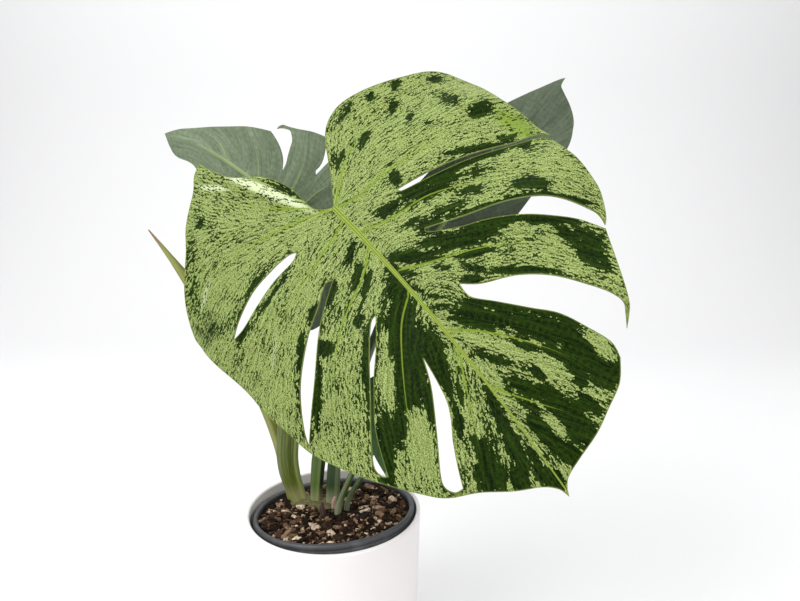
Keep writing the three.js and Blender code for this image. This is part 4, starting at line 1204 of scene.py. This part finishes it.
# The white cachepot
def makePlanter():
    graph = Graph("whiteGlaze")
    place = graph.place()
    cloud = graph.noise(place, 9.0, 3.0, 0.5)
    pits = graph.noise(place, 260.0, 2.0, 0.5)
    colour = graph.mix(cloud.step(0.3, 0.7), (0.79, 0.758, 0.75), (0.82, 0.79, 0.785))
    material = graph.finish(
        Base_Color=colour,
        Roughness=0.3 + cloud * 0.14,
        Normal=graph.bump(cloud + pits * 0.05, 0.12, 0.001),
        Coat_Weight=0.25,
        Coat_Roughness=0.2,
    )
    p = planter
    lip, bend = p["wall"] / 2, p["bend"]
    profile = [(0, 0), (p["foot"] - 3, 0), *arcProfile((p["foot"] - 2.4, 2.6), 2.5, -90, 0, 6)[1:]]
    profile += [(planterRadius(z), z) for z in range(10, 146, 8)]
    profile += arcProfile((planterRadius(p["height"]) - lip, p["height"] - lip), lip, 0, 180, 14)
    profile += [(planterRadius(z) - p["wall"], z) for z in (140, 110, 80, 50, 25)]
    corner = planterRadius(p["floor"]) - p["wall"] - bend
    profile += arcProfile((corner, p["floor"] + bend), bend, 0, -90, 6)
    profile.append((0, p["floor"]))
    made = spun("planter_glazed", profile, p["steps"], material)
    bpy.ops.object.shade_smooth_by_angle(angle=math.radians(45))
    attach(made, ["planter"])


# The nursery pot's outside radius at a height
def wallRadius(z):
    top = nursery["rim"] - nursery["rimStep"]
    return nursery["foot"] + (top - nursery["foot"]) * z / nursery["height"]


# The black pot with its rolled rim and drain holes, leaning in the planter
def makeNurseryPot():
    graph = Graph("blackPlastic")
    place = graph.place()
    cloud = graph.noise(place, 60.0, 3.0, 0.6)
    dust = graph.noise(place, 900.0, 3.0, 0.6)
    scuffs = graph.noise(place, 240.0, 2.0)
    worn = cloud.step(0.45, 0.75) * 0.5 + dust.step(0.55, 0.7) * 0.25
    colour = graph.mix(worn, (0.040, 0.042, 0.046), (0.115, 0.12, 0.125))
    material = graph.finish(
        Base_Color=colour,
        Roughness=0.38 + scuffs * 0.2,
        Normal=graph.bump(dust * 0.2 + scuffs * 0.5, 0.2, 0.0006),
    )
    n = nursery
    under = n["height"] - n["rimDrop"]
    rim, roll, wall = n["rim"], n["rimRoll"], n["wall"]
    profile = [(0, 0), (n["foot"] - 1.5, 0), (n["foot"] - 0.3, 0.6), (n["foot"], 2)]
    profile += [(wallRadius(z), z) for z in (20, 50, 80, 110, under)]
    profile += [(rim - 0.6, under), (rim, under + 0.6), (rim, n["height"] - 6.4),
                (rim - 0.5, n["height"] - 5.6), (rim - 0.5, n["height"] - 4.8),
                (rim, n["height"] - 4.0)]
    profile += arcProfile((rim - roll / 2, n["height"] - roll / 2), roll / 2, 0, 180, 14)
    profile.append((rim - roll, n["height"] - 3.4))
    profile.append((wallRadius(n["height"] - 8) - wall, n["height"] - 8))
    profile += [(wallRadius(z) - wall, z) for z in (110, 80, 50, 20, 3.2)]
    profile += [(n["foot"] - wall - 2, wall), (0, wall)]
    made = spun("nursery_pot_black", profile, n["steps"], material)
    for hole in range(n["holes"]):
        angle = 2 * math.pi * (hole + 0.5) / n["holes"]
        spot = Vector((math.cos(angle), math.sin(angle), 0)) * n["holeCircle"] * milli
        bpy.ops.mesh.primitive_cylinder_add(vertices=24, radius=n["holeRadius"] * milli,
                                            depth=6 * milli, location=spot)
        drill = bpy.context.object
        cut = made.modifiers.new("drain", "BOOLEAN")
        cut.operation = "DIFFERENCE"
        cut.object = drill
        applyAll(made)
        bpy.data.objects.remove(drill)
    made.data.transform(potFrame)
    pick(made)
    bpy.ops.object.shade_smooth_by_angle(angle=math.radians(40))
    attach(made, ["nursery_pot"])


# The potting mix: a rough bed, and chips of bark, wood and pumice pressed into it
mix = {
    "soilDepth": 5, "chips": 1150, "crumbs": 1500, "seed": 11, "rings": 70, "sides": 180,
    "chipSize": (2.2, 6.8), "crumbSize": (1.1, 2.0), "sink": 0.15, "dent": 0.16,
    "bark": [(0.006, 0.004, 0.003), (0.018, 0.010, 0.006), (0.045, 0.024, 0.013),
             (0.095, 0.052, 0.028), (0.17, 0.10, 0.055), (0.32, 0.21, 0.13), (0.72, 0.58, 0.42)],
}


# The level of the mix, heaped a little round the stalks
def soilHeight(x, y):
    roll = math.sin(x / 7.3 + 1) * math.cos(y / 6.1) + 0.6 * math.sin((x + y) / 4.2)
    heap = 2.5 * math.exp(-((x + 22) ** 2 + (y - 16) ** 2) / 900)
    return nursery["height"] - mix["soilDepth"] + 0.8 * roll + heap


# Dark crumbs to pale wood, by the tone written on each chip
def mixMaterial():
    graph = Graph("pottingMix")
    place = graph.place()
    tone = graph.attribute("tone")
    fibre = graph.noise(place, 420.0, 3.0, 0.65)
    spots = graph.noise(place, 1400.0, 2.0, 0.6)
    ramp = graph.node("ShaderNodeValToRGB", None, {0: tone})
    stops = ramp.socket.node.color_ramp
    count = len(mix["bark"])
    while len(stops.elements) < count:
        stops.elements.new(0.5)
    for i, colour in enumerate(mix["bark"]):
        stops.elements[i].position = i / (count - 1)
        stops.elements[i].color = (*colour, 1)
    colour = graph.mix(fibre.step(0.42, 0.66) * 0.6, ramp, (0.030, 0.016, 0.010))
    colour = graph.mix(spots.step(0.62, 0.72) * 0.35, colour, (0.26, 0.16, 0.09))
    return graph.finish(
        Base_Color=colour,
        Roughness=0.8 + fibre * 0.15,
        Normal=graph.bump(fibre + spots * 0.4, 0.6, 0.0008),
        Specular_IOR_Level=0.1,
    )


# Where the stalks stand in the mix, so that no chip lies inside them
def stemSpots():
    inverse = potFrame.inverted()
    spots = []
    for name, stalk in stalks.items():
        line, along = smoothPath(stalk["path"], 3)
        for point in line[line[:, 2] < 165]:
            local = inverse @ Vector(point * milli)
            spots.append((local.x / milli, local.y / milli, stalk["widths"][0] / 2 + 1.5))
    return spots


# The point of a ring at one of the bed's even angles
def bedPoint(radius, side):
    angle = 2 * math.pi * side / mix["sides"]
    return radius * math.cos(angle), radius * math.sin(angle)


# The rough, closed body of the mix
def makeBed(material):
    rings, sides = mix["rings"], mix["sides"]
    rim = nursery["rim"] - nursery["rimRoll"] - 0.5
    level = nursery["height"] - mix["soilDepth"]
    points, faces = [(0, 0, soilHeight(0, 0))], []
    for ring in range(1, rings + 1):
        radius = rim * ring / rings
        for side in range(sides):
            x, y = bedPoint(radius, side)
            crumbly = noise.noise(Vector((x, y, 3)) * 0.45) * 1.1
            crumbly += noise.noise(Vector((x, y, 9)) * 1.1) * 0.5
            edge = min(1, (rings - ring) / 4)
            points.append((x, y, level + (soilHeight(x, y) - level + crumbly - 0.8) * edge))
    profile = [(rim - 0.2, level - 3), (wallRadius(5) - 3, 5.6), (nursery["foot"] - 8, 1.7)]
    for radius, z in profile:
        points += [(*bedPoint(radius, side), z) for side in range(sides)]
    total = rings + len(profile)
    for side in range(sides):
        faces.append((0, 1 + side, 1 + (side + 1) % sides))
    for ring in range(total - 1):
        for side in range(sides):
            after = (side + 1) % sides
            a, b = 1 + ring * sides + side, 1 + ring * sides + after
            faces.append((a, a + sides, b + sides, b))
    points.append((0, 0, 1.7))
    for side in range(sides):
        faces.append((len(points) - 1, 1 + (total - 1) * sides + (side + 1) % sides,
                      1 + (total - 1) * sides + side))
    bed = objectOf("potting_mix_bed", np.array(points) * milli, faces, [material])
    writeAttribute(bed.data, "tone", [0.06] * len(points))
    bed.data.transform(potFrame)
    pick(bed)
    bpy.ops.object.shade_smooth()
    attach(bed, ["potting_mix"])


# A rounded block, which every chip is a squashed and dented copy of
def chipShape():
    bpy.ops.mesh.primitive_cube_add(size=1)
    block = bpy.context.object
    bpy.ops.object.mode_set(mode="EDIT")
    bpy.ops.mesh.subdivide(number_cuts=1, smoothness=0.35)
    bpy.ops.mesh.quads_convert_to_tris()
    bpy.ops.object.mode_set(mode="OBJECT")
    shape = vertexArray(block.data)
    blockFaces = np.array([tuple(p.vertices) for p in block.data.polygons])
    bpy.data.objects.remove(block)
    return shape, blockFaces


# Chips and crumbs scattered over the bed
def makeChips(material):
    rng = random.Random(mix["seed"])
    rim = nursery["rim"] - nursery["rimRoll"] - 0.5
    spots = stemSpots()
    shape, blockFaces = chipShape()
    chipPoints, chipFaces, tones = [], [], []
    placed = 0
    for number in range(mix["chips"] + mix["crumbs"]):
        small = number >= mix["chips"]
        radius = (rim - 2.5) * math.sqrt(rng.random())
        angle = 2 * math.pi * rng.random()
        x, y = radius * math.cos(angle), radius * math.sin(angle)
        least, most = mix["chipSize"]
        size = rng.uniform(*mix["crumbSize"]) if small \
            else least + (most - least) * rng.random() ** 2.6
        if any((x - sx) ** 2 + (y - sy) ** 2 < (room + size * 0.4) ** 2 for sx, sy, room in spots):
            continue
        ranges = ((0.9, 1.5), (0.5, 0.9), (0.25, 0.6))
        sizes = [size * rng.uniform(*limits) for limits in ranges]
        dents = [[rng.uniform(-mix["dent"], mix["dent"]) for axis in range(3)] for corner in shape]
        turn = Matrix.Identity(3)
        for low, high, axis in ((0, 6.3, "Z"), (-0.55, 0.55, "X"), (-0.4, 0.4, "Y")):
            turn @= Matrix.Rotation(rng.uniform(low, high), 3, axis)
        body = (shape + np.array(dents)) * sizes @ np.array(turn).T
        body += [x, y, soilHeight(x, y) + sizes[2] * mix["sink"] + rng.uniform(-0.4, 0.9)]
        chipFaces.append(blockFaces + placed * len(shape))
        chipPoints.append(body)
        tones += [min(1, rng.random() ** 1.7 * (0.9 if small else 1.08))] * len(shape)
        placed += 1
    chips = objectOf("bark_chips", np.vstack(chipPoints) * milli, np.vstack(chipFaces), [material])
    writeAttribute(chips.data, "tone", tones)
    chips.data.transform(potFrame)
    pick(chips)
    bpy.ops.object.shade_smooth_by_angle(angle=math.radians(35))
    attach(chips, [])
    print("potting mix:", placed, "chips")


# The crown, and the dry stubs of old sheaths
crown = {"centre": (-19, 17), "length": 70, "width": 33, "turn": -34, "bottom": 122, "top": 149}
stubs = {
    "sheath_stub_brown": {
        "path": [(-9, -7, 138), (-9, -8, 146), (-10, -9, 153), (-10, -9, 159)],
        "widths": [7, 7, 6, 3],
        "depths": [5, 5, 4, 2],
        "tones": ((0.035, 0.02, 0.014), (0.10, 0.06, 0.045)),
    },
    "sheath_stub_tan": {
        "path": [(1, 7, 138), (0, 6, 146), (0, 5, 153), (1, 5, 158)],
        "widths": [6, 6, 5.5, 3],
        "depths": [4, 4, 4, 2.4],
        "tones": ((0.36, 0.22, 0.17), (0.55, 0.40, 0.32)),
    },
}


# Fibres drawn out along the height
def dryMaterial(name, low, high):
    graph = Graph(name)
    place = graph.place()
    drawn = graph.node("ShaderNodeMapping", None, {"Vector": place, "Scale": (900, 900, 90)})
    fibre = graph.noise(drawn, 1.0, 3.0, 0.6)
    return graph.finish(
        Base_Color=graph.mix(fibre.step(0.35, 0.65), low, high),
        Roughness=0.75 + fibre * 0.15,
        Normal=graph.bump(fibre, 0.6, 0.0006),
    )


# The knobbly crown that the stalks rise from
def makeCrown():
    bpy.ops.mesh.primitive_uv_sphere_add(segments=64, ring_count=32, radius=1)
    made = bpy.context.object
    made.name = "stem_crown_bark"
    points = vertexArray(made.data)
    rough = np.array([noise.noise(Vector(p * 4)) * 0.035 + noise.noise(Vector(p * 11)) * 0.015
                      for p in points])
    points *= (0.955 + rough)[:, None]
    half = (crown["top"] - crown["bottom"]) / 2
    points *= [crown["length"] / 2, crown["width"] / 2, half]
    points = points @ np.array(Matrix.Rotation(math.radians(crown["turn"]), 3, "Z")).T
    points += [*crown["centre"], crown["bottom"] + half]
    made.data.vertices.foreach_set("co", (points * milli).ravel())
    made.data.materials.append(dryMaterial("stemBark", (0.06, 0.045, 0.018), (0.17, 0.15, 0.055)))
    bpy.ops.object.shade_smooth()
    attach(made, ["stem_crown"])


# A stub with a ragged section and a torn top
def makeStub(name, stub):
    line, along = smoothPath(stub["path"], 0.9)
    shares = np.linspace(0, 1, len(line))
    across, out = crossing(along)
    sides = 26
    angles = np.arange(sides) * 2 * math.pi / sides
    points = []
    for ring, share in enumerate(shares):
        for angle in angles:
            spot = Vector((math.cos(angle) * 1.6, math.sin(angle) * 1.6, share * 1.5))
            ragged = 1 + 0.22 * noise.noise(spot)
            width = spread(stub["widths"], share) / 2 * ragged * 0.92
            depth = spread(stub["depths"], share) / 2 * ragged * 0.92
            torn = 1.6 * noise.noise(Vector((angle * 1.7, 5, 0))) * share**3
            points.append(line[ring] + across[ring] * width * math.cos(angle)
                          + out[ring] * depth * math.sin(angle) + along[ring] * (torn - 0.8 * share))
    rings = len(line)
    faces = tubeFaces(rings, sides)
    faces.append(tuple(reversed(range(sides))))
    faces.append(tuple((rings - 1) * sides + side for side in range(sides)))
    made = objectOf(name + "_dry", np.array(points) * milli, faces, [dryMaterial(name, *stub["tones"])])
    pick(made)
    bpy.ops.object.shade_smooth_by_angle(angle=math.radians(40))
    attach(made, [name])


# The floor: a pale sheet that curves up behind
def makeFloor():
    start, bend, front, top, half = 1.2, 0.9, -3, 4, 5
    profile = [(front, 0), (start, 0)]
    for angle in np.linspace(0, math.pi / 2, 13)[1:]:
        profile.append((start + bend * math.sin(angle), bend - bend * math.cos(angle)))
    profile.append((start + bend, top))
    points, faces = [], []
    for y, z in profile:
        points += [(-half, y, z), (half, y, z)]
    for row in range(len(profile) - 1):
        faces.append((2 * row, 2 * row + 1, 2 * row + 3, 2 * row + 2))
    material = Graph("paleFloor").finish(Base_Color=studio["floorTone"], Roughness=0.8)
    floor = objectOf("floor", points, faces, [material])
    pick(floor)
    bpy.ops.object.shade_smooth()


makeCamera()
makeWorld()
for lightName, lightValues in studio["lights"].items():
    softLight(lightName, lightValues)
makeFloor()
print("camera, floor and lights are made")

makePlanter()
makeNurseryPot()
print("the pots are made")
soil = mixMaterial()
makeBed(soil)
makeChips(soil)
makeCrown()
for stubName, stub in stubs.items():
    makeStub(stubName, stub)
print("the crown and the stubs are made")

for stalkName, stalk in stalks.items():
    young = stalkName == "spear_leaf"
    tip = (0.20, 0.12, 0.045) if young else None
    makeStalk(stalkName, stalk, stalkMaterial(stalkName, stalk, tip))
print("the stalks are made")

face = plainSide("plainFace", plainLook["face"], plainLook["facePale"], plainLook["face"], 0.34)
back = plainSide("plainBack", plainLook["back"], plainLook["backPale"], plainLook["backDark"], 0.5)
rim = edgeOf("plainEdge", plainLook["edge"])
makeBlade("blade_front_marbled", "blade_front", frontBlade,
          [marbledTop(), marbledBack(), edgeOf("marbledEdge", marbledLook["edge"])],
          marbleAreas)
print("the marbled blade is made")
plainBlades = {
    "blade_left": leftBlade, "blade_right": rightBlade,
    "blade_low_front": lowFrontBlade, "blade_low_back": lowBackBlade,
}
shaded = plainSide("shadedBack", plainLook["shadeLow"], plainLook["shadePale"],
                   plainLook["shadeDark"], 0.5)
for bladeName, blade in plainBlades.items():
    under = shaded if bladeName == "blade_right" else back
    makeBlade(bladeName + "_green", bladeName, blade, [face, under, rim])
print("the plain blades are made")
